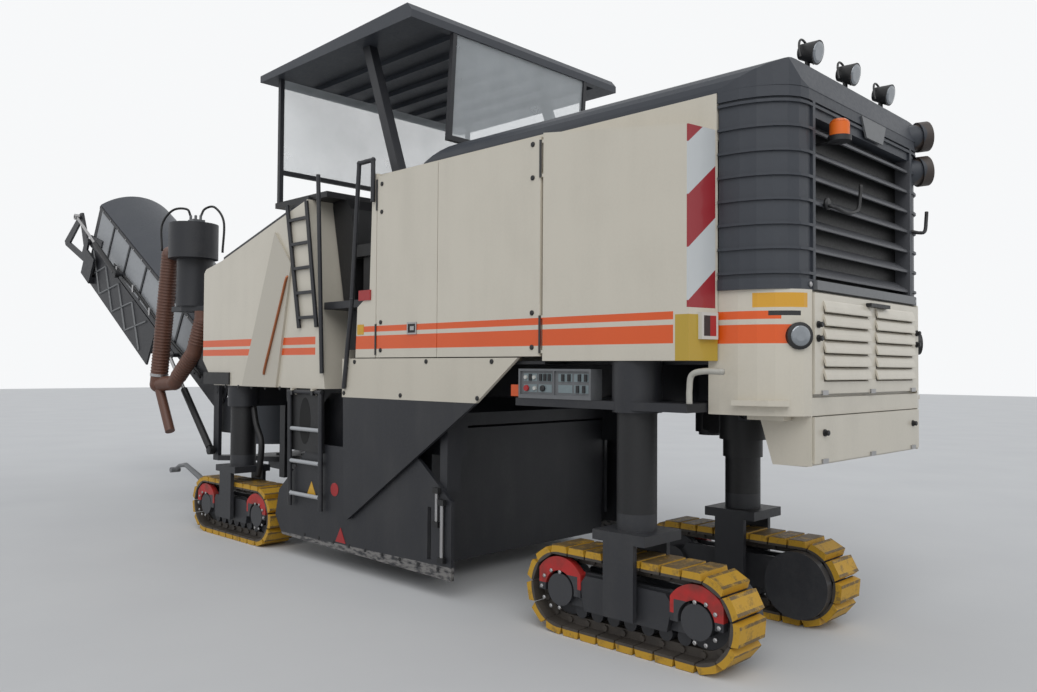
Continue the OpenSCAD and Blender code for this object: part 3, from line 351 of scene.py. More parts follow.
def mirrored(shape):
    """The same shape on the machine's other side."""
    points, faces = shape
    return points * (1.0, -1.0, 1.0), [group[:, ::-1] for group in faces]


def both(*shapes):
    """The shapes with their mirror images."""
    return [*shapes, *(mirrored(shape) for shape in shapes)]


SIDES = (("left", same), ("right", mirrored))


def add(name, shapes, paint, body="root", smooth=False):
    """One mesh object from several shapes, in metres from the rear face, that rides on a body."""
    points, faces, start = [], [], 0
    for shape_points, groups in shapes:
        points.append(shape_points - (MID_X, 0.0, 0.0))
        faces += [row for group in groups for row in (group + start).tolist()]
        start += len(shape_points)
    mesh = bpy.data.meshes.new(name)
    mesh.from_pydata(np.concatenate(points).tolist(), [], faces)
    mesh.materials.append(paint)
    mesh.polygons.foreach_set("use_smooth", [smooth] * len(mesh.polygons))
    made = bpy.data.objects.new(name, mesh)
    scene.collection.objects.link(made)
    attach(made, body)


BOLT = ((0.0, 0.017), (0.005, 0.017), (0.009, 0.011))
DOOR_BOLTS = {"rear": [(1.672, SIDE_Y, z) for z in (3.103, 2.885, 2.010, 1.788)],
              "front": [(3.280, SIDE_Y, z) for z in (3.079, 2.861, 2.002, 1.786)]}
LATCH = (2.84, 1.90, 2.95, 1.99)
LATCH_RIM = 0.012
LATCH_DEPTH = 0.007
for side, turn in SIDES:
    for door, places in DOOR_BOLTS.items():
        body = side + "_" + door + "_door"
        add(body + "_bolts", [turn(turned(places, LEFT, BOLT))], black_paint, body)
    x0, z0, x1, z1 = LATCH
    z_low, z_high = z0 + LATCH_RIM, z1 - LATCH_RIM
    front = SIDE_Y + LATCH_DEPTH
    bezel = slabs((x0, SIDE_Y, z0, x1, front, z_low), (x0, SIDE_Y, z_high, x1, front, z1),
                  (x0, SIDE_Y, z_low, x0 + LATCH_RIM, front, z_high),
                  (x1 - LATCH_RIM, SIDE_Y, z_low, x1, front, z_high))
    grip = slabs((x0 + 0.025, SIDE_Y + 0.0031, z0 + 0.03, x1 - 0.04, SIDE_Y + 0.009, z1 - 0.03))
    well = slabs((x0 + LATCH_RIM, SIDE_Y, z_low, x1 - LATCH_RIM, SIDE_Y + 0.003, z_high))
    add(side + "_latch", [turn(bezel), turn(grip)], steel, side + "_front_door")
    add(side + "_latch_well", [turn(well)], black_paint, side + "_front_door")


def flat_look(colour, roughness=0.4, metallic=0.0):
    """A look of one even colour, slightly mottled."""
    shade = tuple(c * 0.75 for c in colour)
    return lambda place, x, y, z: {"Base Color": place.noise(30.0, 4.0).mix(colour, shade),
                                   "Roughness": roughness, "Metallic": metallic}


red_paint = material("red_paint", flat_look((0.42, 0.018, 0.020), 0.35))
yellow_paint = material("yellow_paint", flat_look((0.75, 0.42, 0.03), 0.4))
add("corner_reflectors", both(slabs((3.409, SIDE_Y, 2.181, 3.560, SIDE_Y + 0.012, 2.262))), red_paint)
add("corner_plates", both(slabs((3.500, SIDE_Y, 1.912, 3.585, SIDE_Y + 0.003, 1.992))), yellow_paint)

# Rear corners
# The side boxes carry a reflective board of slanted white and red bars on their slanted rear
# faces, with a yellow block and the tail lamp below it.
WHITE_SHEET = (0.60, 0.62, 0.62)
RED = (0.33, 0.014, 0.022)
YELLOW = (0.50, 0.33, 0.03)
BOX_CORNER = (0.490, 1.250)
BOX_SLOPE = 0.2535       # how far the box's rear face runs forward per metre outwards
BAR_HEIGHT = 0.294
BAR_START = 3.478
BOARD_INNER, BOARD_FLOOR, BOARD_TOP = 1.055, 1.995, 3.045
BLOCK_INNER, BLOCK_FRONT, BLOCK_TOP = 1.05, 0.578, 1.958


def corner_look(place, x, y, z):
    made = cream_panel(place, x, y, z, SIDE_BANDS)
    wide = abs(y)
    rear = (x - (wide - BOX_CORNER[1]) * BOX_SLOPE) < BOX_CORNER[0] + PANEL_T
    bar = ((z + wide * 0.92 - BAR_START) % (2.0 * BAR_HEIGHT)) < BAR_HEIGHT
    board = rear * (wide > BOARD_INNER) * z.between(BOARD_FLOOR, BOARD_TOP)
    block = ((rear * (wide > BLOCK_INNER)) + (x < BLOCK_FRONT)).clamped() * (z < BLOCK_TOP)
    colour = board.mix(made["Base Color"], bar.mix(WHITE_SHEET, RED))
    made["Base Color"] = block.mix(colour, YELLOW)
    return made


dress(material("corner_paint", corner_look), "side_boxes")

# Rear body with its louvred door and tool box
# Cream steel with the stripes running round its corners; pressed blades cover the door's slots,
# and black quarter-turn knobs and small clips hold the door and the flap.
ROUND_Y = 0.80           # where the flat rear face goes over into the rounded corners


def rear_look(place, x, y, z):
    made = cream_panel(place, x, y, z)
    wide = abs(y)
    stripe = (z.between(*THIN_STRIPE) * (x > 0.10) + z.between(*THICK_STRIPE) * (x > 0.03)).clamped()
    colour = (stripe * (wide > ROUND_Y)).mix(made["Base Color"], ORANGE)
    plate_place = x.between(0.008, 0.240) * (wide > ROUND_Y) * z.between(1.995, 2.075)
    colour = plate_place.mix(colour, (0.72, 0.36, 0.02))
    bar_place = x.between(0.025, 0.160) * (wide > ROUND_Y) * z.between(1.950, 1.976)
    made["Base Color"] = bar_place.mix(colour, BLACK)
    return made


dress(material("rear_paint", rear_look), "rear_body")
dress(plain_paint, "louvre_door", "storage_flap")
DOOR_FACE = -0.012
BLADE = ((0.000, 0.066), (-0.006, 0.058), (-0.016, 0.030), (-0.020, 0.006), (-0.019, 0.000),
         (-0.013, 0.000), (0.000, 0.040))
BLADE_HALF = 0.31
BLADE_FLOOR, BLADE_PITCH = 1.597, 0.076
BLADE_ROWS = 6
blades = []
for column in (0.36, -0.36):
    for row in range(BLADE_ROWS):
        low = BLADE_FLOOR + BLADE_PITCH * row
        blades.append(plate([(DOOR_FACE + dx, low + dz) for dx, dz in BLADE],
                            column - BLADE_HALF, column + BLADE_HALF))
add("louvre_blades", blades, plain_paint, "louvre_door")
KNOB = ((0.0, 0.020), (0.010, 0.020), (0.012, 0.014), (0.026, 0.016), (0.030, 0.012))
door_knobs = turned([(DOOR_FACE, y, z) for y in (0.735, -0.735) for z in (1.904, 1.828)], BACK, KNOB)
door_grip = slabs((DOOR_FACE - 0.034, -0.205, 2.038, DOOR_FACE, 0.087, 2.060))
add("door_knobs", [door_knobs, door_grip], black_paint, "louvre_door")
flap_knobs = turned([(DOOR_FACE, y, 1.304) for y in (0.66, -0.66)], BACK, KNOB)
add("flap_knobs", [flap_knobs], black_paint, "storage_flap")
for panel, body, z in (("louvre", "louvre_door", 1.530), ("flap", "storage_flap", 1.150)):
    clips = slabs(*((DOOR_FACE - 0.010, y - 0.035, z - 0.016, DOOR_FACE, y + 0.035, z + 0.010)
                    for y in (0.66, 0.0, -0.66)))
    add(panel + "_clips", [clips], steel, body)

# Rear grille and its cheeks
# Moulded cheeks in blue-grey curve round to the sides; dark bars cross the mouth in front of the
# cooler, with a grey lip below, a bare plate above, a coat hook and a folded bracket. The bars'
# fronts are painted light grey as a painted highlight, and the cooler core behind them is painted
# near-black as painted shade.
SLATE = (0.034, 0.039, 0.049)
SLATE_DUST = (0.085, 0.088, 0.095)
PIPE_BROWN = (0.055, 0.042, 0.036)
MOUTH_HALF = 0.705
CORE_X = 0.113


def slate_look(place, x, y, z):
    made = charcoal_paint(place, x, y, z, SLATE, SLATE_DUST, 0.35)
    pipe_wall = (x < 0.035) * (y < -0.84) * (z > 2.88)
    made["Base Color"] = pipe_wall.mix(made["Base Color"], PIPE_BROWN)
    return made


def grille_look(place, x, y, z):
    made = slate_look(place, x, y, z)
    # Painted light: the mouth is painted light grey as a painted highlight on the bars' fronts, and the core
    # behind them near-black as painted shade in the hollow.
    mouth = (abs(y) < MOUTH_HALF + 0.001) * z.between(2.154, 3.074)
    highlit_bars = mouth.mix(made["Base Color"], (0.085, 0.087, 0.095))
    made["Base Color"] = (mouth * (x > CORE_X)).mix(highlit_bars, (0.004, 0.004, 0.004))
    return made


slate_paint = material("slate_paint", slate_look)
dress(material("grille_paint", grille_look), "rear_grille")
dress(slate_paint, "hood", "canopy_roof", "conveyor_covers", "feed_hopper")
grey_metal = material("grey_metal", flat_look((0.17, 0.175, 0.18), 0.45))
MOUTH_FRAME = 0.0139     # rear face of the frame round the mouth
lip = slabs((-0.010, -0.735, 2.098, MOUTH_FRAME, 0.735, 2.150))
bare_plate = plate([(0.10, 3.205), (-0.27, 3.205), (-0.22, 3.085), (0.03, 3.085)], 0.002, MOUTH_FRAME, "x")
add("grille_lip", [lip, bare_plate], grey_metal)
cheek_bolts = turned([(MOUTH_FRAME, y, 2.125) for y in (0.775, -0.775)], BACK,
                     ((0.0, 0.016), (0.006, 0.016), (0.010, 0.010)))
add("cheek_bolts", [cheek_bolts], steel)


def curve(points, count):
    """A smooth path of count points: a cubic between each pair, whose slope at a point is half
    the step between its two neighbours."""
    knots = np.asarray(points, float)
    slopes = np.gradient(knots, axis=0)
    along = np.linspace(0.0, len(knots) - 1.0, count)
    index = np.minimum(along.astype(int), len(knots) - 2)
    t = (along - index)[:, None]
    return ((2 * t**3 - 3 * t**2 + 1) * knots[index] + (t**3 - 2 * t**2 + t) * slopes[index]
            + (3 * t**2 - 2 * t**3) * knots[index + 1] + (t**3 - t**2) * slopes[index + 1])


def pipe(path, radius, sides=10, up=UP):
    """A round tube: each point of the path carries a ring radius (cos a · side + sin a · top),
    square to the way the path runs; the radius is one number or one for each point."""
    path = np.asarray(path, float)
    ahead = np.gradient(path, axis=0)
    ahead /= np.linalg.norm(ahead, axis=1)[:, None]
    side = np.cross(ahead, up)
    side /= np.linalg.norm(side, axis=1)[:, None]
    cosine, sine = circle(sides)
    ring = cosine * side[:, None] + sine * np.cross(side, ahead)[:, None]
    points = path[:, None] + ring * np.broadcast_to(radius, len(path))[:, None, None]
    return points.reshape(-1, 3), tube_faces(1, len(path), sides)


HOOK = [(0.03, -0.735, 2.60), (-0.03, -0.760, 2.585), (-0.05, -0.800, 2.60), (-0.05, -0.825, 2.68),
        (-0.05, -0.835, 2.735)]
BRACKET = [(0.03, 0.560, 2.600), (-0.03, 0.540, 2.575), (-0.04, 0.400, 2.565), (-0.04, 0.270, 2.600),
           (-0.04, 0.235, 2.680), (-0.04, 0.225, 2.755)]
hook = pipe(curve(HOOK, 24), 0.012, 8, (0.3, 1.0, 0.2))
bracket = pipe(curve(BRACKET, 28), 0.011, 8, (1.0, 0.1, 0.2))
bracket_foot = turned([(0.02, 0.560, 2.600)], BACK, ((0.0, 0.035), (0.015, 0.035)))
add("grille_hooks", [hook, bracket, bracket_foot], black_paint, smooth=True)

# Work lamps, beacon and tail lamps
# Round black lamps with clear lenses in wire brackets, an orange flashing beacon on its arm, and
# red tail lamps in white frames on the side boxes.
LAMP_X, LAMP_Z = 0.084, 3.502
LAMP_AXIS = (-0.966, 0.0, -0.259)
LAMP_Y = (0.52, 0.0, -0.56)


def lamp_look(place, x, y, z):
    made = black_look(place, x, y, z)
    dome = (x < 0.01) * z.between(2.976, 3.2)
    colour = dome.mix(made["Base Color"], (0.85, 0.16, 0.01))
    tail = (x > 0.40) * (z < 2.0)
    lens = abs(y).between(1.076, 1.120) * z.between(1.838, 1.952)
    dark = abs(y).between(1.120, 1.166) * z.between(1.838, 1.952)
    colour = tail.mix(colour, (0.62, 0.60, 0.55))
    made["Base Color"] = (tail * lens).mix((tail * dark).mix(colour, (0.03, 0.02, 0.02)), (0.40, 0.02, 0.02))
    return made


dress(material("lamp_paint", lamp_look), "lamps")
lens_glass = material("lens_glass", flat_look((0.30, 0.32, 0.34), 0.08, 0.4))
centres = [(LAMP_X, y, LAMP_Z) for y in LAMP_Y]
lenses = turned(centres, LAMP_AXIS, ((0.0, 0.062), (0.004, 0.060), (0.008, 0.045)), 20)
add("lamp_lenses", [lenses], lens_glass)
ARC = np.linspace(0.0, math.pi, 16)
brackets = []
for y in LAMP_Y:
    bow = np.stack([0.150 + 0.03 * np.sin(ARC), y + 0.085 * np.cos(ARC), 3.470 + 0.13 * np.sin(ARC)], 1)
    brackets.append(pipe(bow, 0.007, 6, AHEAD))
add("lamp_brackets", brackets, black_paint)
orange_glass = material("orange_glass", flat_look((0.85, 0.16, 0.01), 0.15))
BEACON = ((0.0, 0.054), (0.012, 0.050), (0.022, 0.038), (0.029, 0.018))
add("beacon_dome", [turned([(-0.06, 0.56, 3.048)], UP, BEACON, 20)], orange_glass, smooth=True)
CORNER_LAMP = (0.028, 0.875, 1.838)
CORNER_AXIS = (-0.80, 0.60, 0.0)
corner_ring = turned([CORNER_LAMP], CORNER_AXIS, ((-0.02, 0.075), (0.012, 0.075), (0.016, 0.060)), 24)
corner_lens = turned([CORNER_LAMP], CORNER_AXIS, ((0.0161, 0.056), (0.020, 0.050), (0.022, 0.030)), 24)
add("corner_lamp_rings", both(corner_ring), black_paint)
add("corner_lamp_lenses", both(corner_lens), lens_glass)

# Handles and steps at the rear corners
# A bent grab handle and an angled step bracket in cream on each side of the tool box.
HANDLE = [(0.28, 1.235, 1.640), (0.40, 1.240, 1.642), (0.475, 1.240, 1.620), (0.490, 1.240, 1.540),
          (0.490, 1.240, 1.462)]
STEP = [(0.075, 0.905), (0.150, 0.965), (0.330, 1.020), (0.330, 1.075), (0.130, 1.030), (0.045, 0.955)]
cream_gloss = material("cream_gloss", flat_look((0.52, 0.50, 0.44), 0.3))
add("corner_handles", both(pipe(curve(HANDLE, 30), 0.017, 10, LEFT)), cream_gloss, smooth=True)
add("step_brackets", both(plate(STEP, 1.455, 1.485, "z")), plain_paint)

# Milling gear
# The drum's housing is covered at the sides by an apron and by lifting side plates in charcoal;
# the plates run on bright wear strips, and polished rods guide them at the rear.
SKIRT_EDGE = 1.4105      # the paint changes from cream to charcoal below it
GATE_Y = 1.215           # outer face of the side plates
STRIP_TOP = 0.285


def skirt_look(place, x, y, z):
    dark = charcoal_paint(place, x, y, z)
    light = cream_panel(place, x, y, z)
    return {"Base Color": (z > SKIRT_EDGE).mix(dark["Base Color"], light["Base Color"]),
            "Roughness": dark["Roughness"], "Normal": dark["Normal"]}


dress(material("skirt_paint", skirt_look), "side_skirts")
SKIRT_BOLTS = [(x, SIDE_Y, z) for x, z in ((3.619, 1.696), (2.729, 1.698), (2.042, 1.697), (3.762, 1.444),
                                           (3.027, 1.443), (2.182, 1.445))]
add("skirt_bolts", both(turned(SKIRT_BOLTS, LEFT, BOLT)), black_paint)


def gate_look(place, x, y, z):
    made = charcoal_paint(place, x, y, z)
    bright = place.noise(14.0, 5.0, (1.0, 1.0, 3.0)).ramp(0.35, 0.6)
    strip = (z + x * 0.02) < STRIP_TOP
    made["Base Color"] = (strip * bright).mix(made["Base Color"], (0.20, 0.19, 0.18))
    return made


dress(material("gate_paint", gate_look), "side_plate_left", "side_plate_right")
DISC = ((0.0, 0.055), (0.003, 0.055), (0.004, 0.050))
FLAT_BOLT = ((0.0, 0.015), (0.003, 0.015), (0.004, 0.010))
TRIANGLE = ((0.0, 0.070), (-0.070, -0.050), (0.070, -0.050))
ROD_Y = GATE_Y + 0.018
for side, turn in SIDES:
    body = "side_plate_" + side
    marks = [turned([(3.931, GATE_Y, 0.643)], LEFT, DISC, 24),
             plate([(3.837 + dx, 0.272 + dz) for dx, dz in TRIANGLE], GATE_Y, GATE_Y + 0.004)]
    add(body + "_marks", [turn(shape) for shape in marks], red_paint, body)
    sign = plate([(4.275 + dx, 0.608 + dz) for dx, dz in TRIANGLE], GATE_Y, GATE_Y + 0.003)
    add(body + "_sign", [turn(sign)], yellow_paint, body)
    rods = [pipe([(2.560, ROD_Y, 0.700), (2.560, ROD_Y, 0.270)], 0.014, 10, AHEAD),
            pipe([(2.620, ROD_Y, 0.780), (2.620, ROD_Y, 0.520)], 0.012, 10, AHEAD)]
    add(body + "_rods", [turn(shape) for shape in rods], steel, body)
    clamps = slabs(*((x - 0.03, GATE_Y, z - 0.02, x + 0.03, GATE_Y + 0.034, z + 0.02)
                     for x, z in ((2.560, 0.690), (2.560, 0.280), (2.620, 0.770), (2.620, 0.530))))
    low_edge = [(x, GATE_Y, 0.205 + (x - 2.6) * 0.005) for x in np.arange(2.62, 4.60, 0.22)]
    add(body + "_bolts", [turn(clamps), turn(turned(low_edge, LEFT, FLAT_BOLT))], black_paint, body)


def drum_look(place, x, y, z):
    fine = place.noise(60.0, 5.0)
    cloud = place.noise(9.0, 5.0)
    return {"Base Color": cloud.mix((0.10, 0.08, 0.065), (0.24, 0.22, 0.20)),
            "Metallic": cloud.ramp(0.45, 0.6) * 0.7, "Roughness": fine * 0.3 + 0.45,
            "Normal": (cloud + fine * 0.5).bump(0.003)}


dress(material("drum_steel", drum_look), "milling_drum")

# Control panel in the recess
# A grey box with white labelled fields, black rockers, pale keys, a red stop button, and an orange
# lamp on its front end.
dress(material("panel_grey", flat_look((0.16, 0.165, 0.17), 0.5)), "control_panel")
PANEL_Y = 1.228
FIELD_Y = PANEL_Y + 0.002
KEY_HIGH, KEY_LOW = 1.595, 1.525
ROCKERS = ((1.235, KEY_HIGH), (1.285, KEY_HIGH), (1.370, KEY_HIGH), (1.420, KEY_HIGH), (1.250, KEY_LOW),
           (1.300, KEY_LOW), (1.535, KEY_HIGH), (1.572, KEY_HIGH), (1.609, KEY_HIGH), (1.700, KEY_HIGH))
PALE_KEYS = [(1.665, FIELD_Y, KEY_HIGH), (1.740, FIELD_Y, KEY_HIGH), (1.660, FIELD_Y, KEY_LOW)]
fields = slabs(*((x, PANEL_Y, z, x + 0.115, FIELD_Y, z + 0.05)
                 for x in (1.215, 1.345, 1.515, 1.645) for z in (1.500, 1.570)))
add("panel_fields", [fields], material("field_paint", flat_look((0.22, 0.27, 0.28), 0.4)))
rockers = slabs(*((x - 0.011, FIELD_Y, z - 0.022, x + 0.011, FIELD_Y + 0.008, z + 0.022) for x, z in ROCKERS))
dial = turned([(1.590, FIELD_Y, KEY_LOW)], LEFT, ((0.0, 0.020), (0.012, 0.020), (0.016, 0.014)))
add("panel_switches", [rockers, dial], black_paint)
key_white = material("key_white", flat_look((0.62, 0.61, 0.56), 0.4))
add("panel_keys", [turned(PALE_KEYS, LEFT, ((0.0, 0.013), (0.012, 0.012)))], key_white)
stop_button = turned([(1.730, FIELD_Y, KEY_LOW)], LEFT,
                     ((0.0, 0.010), (0.006, 0.010), (0.0061, 0.021), (0.016, 0.019)), 20)
add("stop_button", [stop_button], red_paint)
lamp_orange = material("lamp_orange", flat_look((0.70, 0.10, 0.015), 0.35))
add("panel_lamp", [slabs((1.802, 1.190, 1.470, 1.872, 1.236, 1.545))], lamp_orange)

# Crawlers
# Forged chains with yellow bolt-on pads worn dark on their faces run round grey frames; red guard
# plates close the outer sides, and black sheaths cover the lifting tubes.
WHEEL_HALF = 0.495
TRACK_Z = 0.275
PAD_INNER = 0.233
GUARD_IN = 0.083         # inner side of the guard plates, outwards from the track's middle
GUARD_LOW, GUARD_TOP, GUARD_START = 0.300, 0.55, 0.325
HUB_RADIUS = 0.102
SHEATH_LOW = 0.80
GUARD_RING, HUB_RING = 0.115, 0.075
TRACKS = {"front_left": (5.680, 1.095, 1.0), "front_right": (5.680, -1.095, -1.0),
          "rear_left": (0.950, 1.095, 1.0), "rear_right": (0.950, -0.140, -1.0)}


def loop_radius(x, z, centre_x):
    """Distance from the line between a loop's two end wheels."""
    ahead = (abs(x - centre_x) - WHEEL_HALF).at_least(0.0)
    up = z - TRACK_Z
    return (ahead * ahead + up * up).root()


def track_look(centre_x):
    def look(place, x, y, z):
        fine = place.noise(70.0, 5.0)
        cloud = place.noise(12.0, 5.0)
        radius = loop_radius(x, z, centre_x)
        worn = (cloud * 0.7 + fine * 0.4 + (radius > 0.272) * 0.22).ramp(0.55, 0.80)
        pad = (worn * 0.85).mix((0.52, 0.290, 0.020), (0.075, 0.058, 0.040))
        chain = cloud.mix((0.035, 0.031, 0.028), (0.085, 0.070, 0.055))
        return {"Base Color": (radius > PAD_INNER).mix(chain, pad), "Roughness": fine * 0.3 + 0.45,
                "Normal": (cloud + fine * 0.5).bump(0.003)}
    return look


def leg_look(centre_x, centre_y, out):
    def look(place, x, y, z):
        made = charcoal_paint(place, x, y, z, (0.024, 0.025, 0.029))
        outside = (y - centre_y) * out > GUARD_IN
        guard = outside * (abs(x - centre_x) > GUARD_START) * z.between(GUARD_LOW, GUARD_TOP)
        hub = outside * ((loop_radius(x, z, centre_x) < HUB_RADIUS) * (abs(x - centre_x) > 0.35))
        red = place.noise(9.0, 5.0).ramp(0.35, 0.75).mix((0.46, 0.020, 0.018), (0.20, 0.030, 0.022))
        colour = hub.mix(guard.mix(made["Base Color"], red), (0.040, 0.041, 0.045))
        made["Base Color"] = (z > SHEATH_LOW).mix(colour, BLACK)
        return made
    return look


for name, (centre_x, centre_y, out) in TRACKS.items():
    dress(material(name + "_pads", track_look(centre_x)), name + "_track")
    dress(material(name + "_frame", leg_look(centre_x, centre_y, out)), name + "_leg")
    outward = (0.0, out, 0.0)
    angles = np.arange(10) * math.pi / 5.0
    face = centre_y + out * 0.132
    ends = [(centre_x + end * (WHEEL_HALF + 0.03) + GUARD_RING * math.cos(a), face,
             TRACK_Z + GUARD_RING * math.sin(a))
            for end in (-1.0, 1.0) for a in angles if math.cos(a) * end > -0.5]
    guard_bolts = turned(ends, outward, ((0.0, 0.013), (0.008, 0.013), (0.011, 0.008)), 6)
    add(name + "_guard_bolts", [guard_bolts], steel, name + "_crawler")
    ring = [(centre_x + HUB_RING * math.cos(a), centre_y + out * 0.128, TRACK_Z + HUB_RING * math.sin(a))
            for a in angles]
    hub_bolts = turned(ring, outward, ((0.0, 0.011), (0.008, 0.011), (0.010, 0.007)), 6)
    add(name + "_hub_bolts", [hub_bolts], black_paint, name + "_crawler")

# Front crawlers' fittings
# A short lever stands out ahead of the front left crawler, and a hose runs down each front leg.
LEVER = [(6.264, 1.190, 0.471), (6.420, 1.190, 0.530), (6.706, 1.190, 0.619), (6.850, 1.190, 0.600),
         (6.963, 1.190, 0.547)]
lever_end = turned([LEVER[-1]], LEFT, ((-0.05, 0.028), (0.05, 0.028)))
add("crawler_lever", [pipe(LEVER, (0.030, 0.028, 0.024, 0.020, 0.024), 8, LEFT), lever_end], grey_metal,
    "front_left_crawler")
LEG_HOSE = [(5.555, 1.06, 1.262), (5.500, 1.06, 1.100), (5.400, 1.06, 0.940), (5.410, 1.06, 0.760),
            (5.455, 1.06, 0.600)]
for side, turn in SIDES:
    add("front_" + side + "_hose", [turn(pipe(curve(LEG_HOSE, 36), 0.030, 10, LEFT))], black_paint,
        "front_" + side + "_crawler", smooth=True)

# Milling drum
# A steel drum carries round-shank picks with carbide tips in welded holders, set along two
# opposed spirals that carry the milled stream to the middle.
DRUM_X, DRUM_Z = 3.640, 0.665
TOOLS_HALF = 26
TOOL_TURN = math.radians(47.0)
FOOT_RADIUS, TIP_RADIUS = 0.425, 0.509
picks = []
for side in (-1.0, 1.0):
    for tool in range(TOOLS_HALF):
        angle = tool * TOOL_TURN
        radial = np.array([math.cos(angle), 0.0, math.sin(angle)])
        turning = np.array([-math.sin(angle), 0.0, math.cos(angle)])
        place = np.array([DRUM_X, side * (0.975 - tool * 0.95 / (TOOLS_HALF - 1)), DRUM_Z])
        foot = place + radial * FOOT_RADIUS - turning * 0.050
        tip = place + radial * TIP_RADIUS + turning * 0.018
        length = float(np.linalg.norm(tip - foot))
        pick = ((0.0, 0.030), (length * 0.45, 0.030), (length * 0.50, 0.021), (length * 0.80, 0.014),
                (length * 0.97, 0.006))
        picks.append(turned([foot], tip - foot, pick, 10))
add("drum_picks", picks, steel, "drum")

# Tank ahead of the platform
# Cream steel with the stripes at its own height; a raised strut carries a copper drain pipe, and
# dark boxes for filling and control sit on its side.
TANK_BANDS = ((1.757, 1.818, 4.19, 6.30), (1.845, 1.911, 4.19, 6.30))


def tank_look(place, x, y, z):
    made = cream_panel(place, x, y, z, TANK_BANDS)
    strut = (abs(y) > SIDE_Y + PROUD) * (z > 1.45)
    cream = strut.mix(made["Base Color"], CREAM_DUST)
    tunnel = (abs(y) < 0.485) * (x > 5.09) * (z < 2.13)
    made["Base Color"] = tunnel.mix(cream, CHARCOAL)
    return made


dress(material("tank_paint", tank_look), "front_body")
copper = material("copper_pipe", flat_look((0.45, 0.16, 0.07), 0.3, 0.8))
DRAIN_Y = 1.281
DRAIN = [(4.610, 1.26, 2.450), (4.620, DRAIN_Y, 2.425), (4.700, DRAIN_Y, 2.240), (4.850, DRAIN_Y, 1.900),
         (4.975, DRAIN_Y, 1.615), (4.985, 1.26, 1.590)]
add("drain_pipes", both(pipe(curve(DRAIN, 40), 0.012, 8, LEFT)), copper, smooth=True)
add("filler_boxes", both(slabs((5.667, SIDE_Y, 1.478, 6.188, SIDE_Y + 0.016, 1.596))), black_paint)
add("tank_boxes", both(slabs((4.090, SIDE_Y, 2.047, 4.130, SIDE_Y + 0.014, 2.160))), grey_metal)
TANK_BOLTS = [(x, SIDE_Y, 1.462) for x in np.arange(4.75, 6.0, 0.25)]
add("tank_bolts", both(turned(TANK_BOLTS, LEFT, BOLT)), black_paint)

# Platform, console and seats
# Rows of red switches and two pale fields lie on the console's top, and ribs cross the seats.
CONSOLE_TOP = 3.1503
SEAT_TOP = 2.6803
SWITCH = ((0.0, 0.014), (0.010, 0.012), (0.020, 0.012), (0.024, 0.006))
switches = [(4.40 + 0.06 * i, y, CONSOLE_TOP) for i in range(6) for y in (-0.9, 0.9, 0.2)]
add("console_switches", [turned(switches, UP, SWITCH)], red_paint)
add("console_fields", [slabs((4.36, -1.02, CONSOLE_TOP, 4.76, -0.55, 3.154),
                             (4.36, 0.55, CONSOLE_TOP, 4.76, 1.02, 3.154))], grey_metal)
seat_ribs = [slabs(*((3.56 + 0.09 * i, y, SEAT_TOP, 3.60 + 0.09 * i, y + 0.40, 2.688) for i in range(4)))
             for y in (0.60, -1.00)]
add("seat_ribs", seat_ribs, grey_metal)

# Ladders
# Dark side rails with bright steps, worn by boots. A dark moulded pad stands behind each ladder,
# with a round well and a hose looped over its top. The well is drawn as a near-black disc of
# painted shade.
def ladder_look(place, x, y, z):
    made = charcoal_paint(place, x, y, z)
    levels = [abs(z - level) < 0.021 for level in (0.56, 0.84, 1.12)]
    step = (levels[0] + levels[1] + levels[2]) * x.between(4.105, 4.545)
    made["Base Color"] = step.mix(made["Base Color"], (0.42, 0.43, 0.44))
    return made


dress(material("ladder_paint", ladder_look), "ladder_left", "ladder_right")
PAD = [(4.575, 0.930), (4.589, 1.463), (4.530, 1.515), (4.472, 1.540), (4.244, 1.543), (4.150, 1.510),
       (4.094, 1.453), (4.083, 0.930)]
PAD_FACE = 1.232
add("ladder_pads", both(plate(PAD, 1.218, PAD_FACE)), black_paint)
# The round well is painted shade: a near-black disc on the pad's face stands for the dark hollow.
WELL = [(4.365 + 0.085 * math.cos(a), 1.190 + 0.200 * math.sin(a)) for a in np.arange(24) * math.pi / 12.0]
painted_well_shade = material("painted_well_shade", flat_look((0.002, 0.002, 0.002), 0.8))
add("ladder_well_painted_shade", both(plate(WELL, PAD_FACE, PAD_FACE + 0.0015)), painted_well_shade)
ARCH = [(4.645, 1.225, 1.350), (4.649, 1.225, 1.462), (4.611, 1.225, 1.570), (4.435, 1.225, 1.624),
        (4.244, 1.225, 1.574), (4.150, 1.225, 1.493), (4.125, 1.235, 1.350)]
add("ladder_hoses", both(pipe(curve(ARCH, 48), 0.016, 10, LEFT)), black_paint, smooth=True)

# Canopy panes
# Clear safety glass with a slight haze of dust.
def glass_look(place, x, y, z):
    haze = place.noise(3.0, 4.0)
    return {"Base Color": (0.80, 0.84, 0.85), "Roughness": 0.08, "Alpha": haze * 0.15 + 0.25}


dress(material("screen_glass", glass_look), "canopy_glass")

# Conveyor
# Galvanized side walls in a dark frame, curved covers in blue-grey sheet, and an open end section
# with crossed braces; both sections carry hoses and bright clips.
BELT_RISE = math.radians(30.5)
LUFF_PIN = (7.250, 1.385)
ALONG = np.array([math.cos(BELT_RISE), 0.0, math.sin(BELT_RISE)])
ACROSS = np.array([-math.sin(BELT_RISE), 0.0, math.cos(BELT_RISE)])


def belt_place(u, y, w):
    """A point given along the belt, sideways and square to the belt, from the luffing pins."""
    return np.array([LUFF_PIN[0], 0.0, LUFF_PIN[1]]) + u * ALONG + w * ACROSS + (0.0, y, 0.0)


def belt_coordinates(x, z):
    """Distances along the belt and square to it, as shader values."""
    ahead = x - LUFF_PIN[0]
    up = z - LUFF_PIN[1]
    return (ahead * float(ALONG[0]) + up * float(ALONG[2]),
            up * float(ACROSS[2]) + ahead * float(ACROSS[0]))


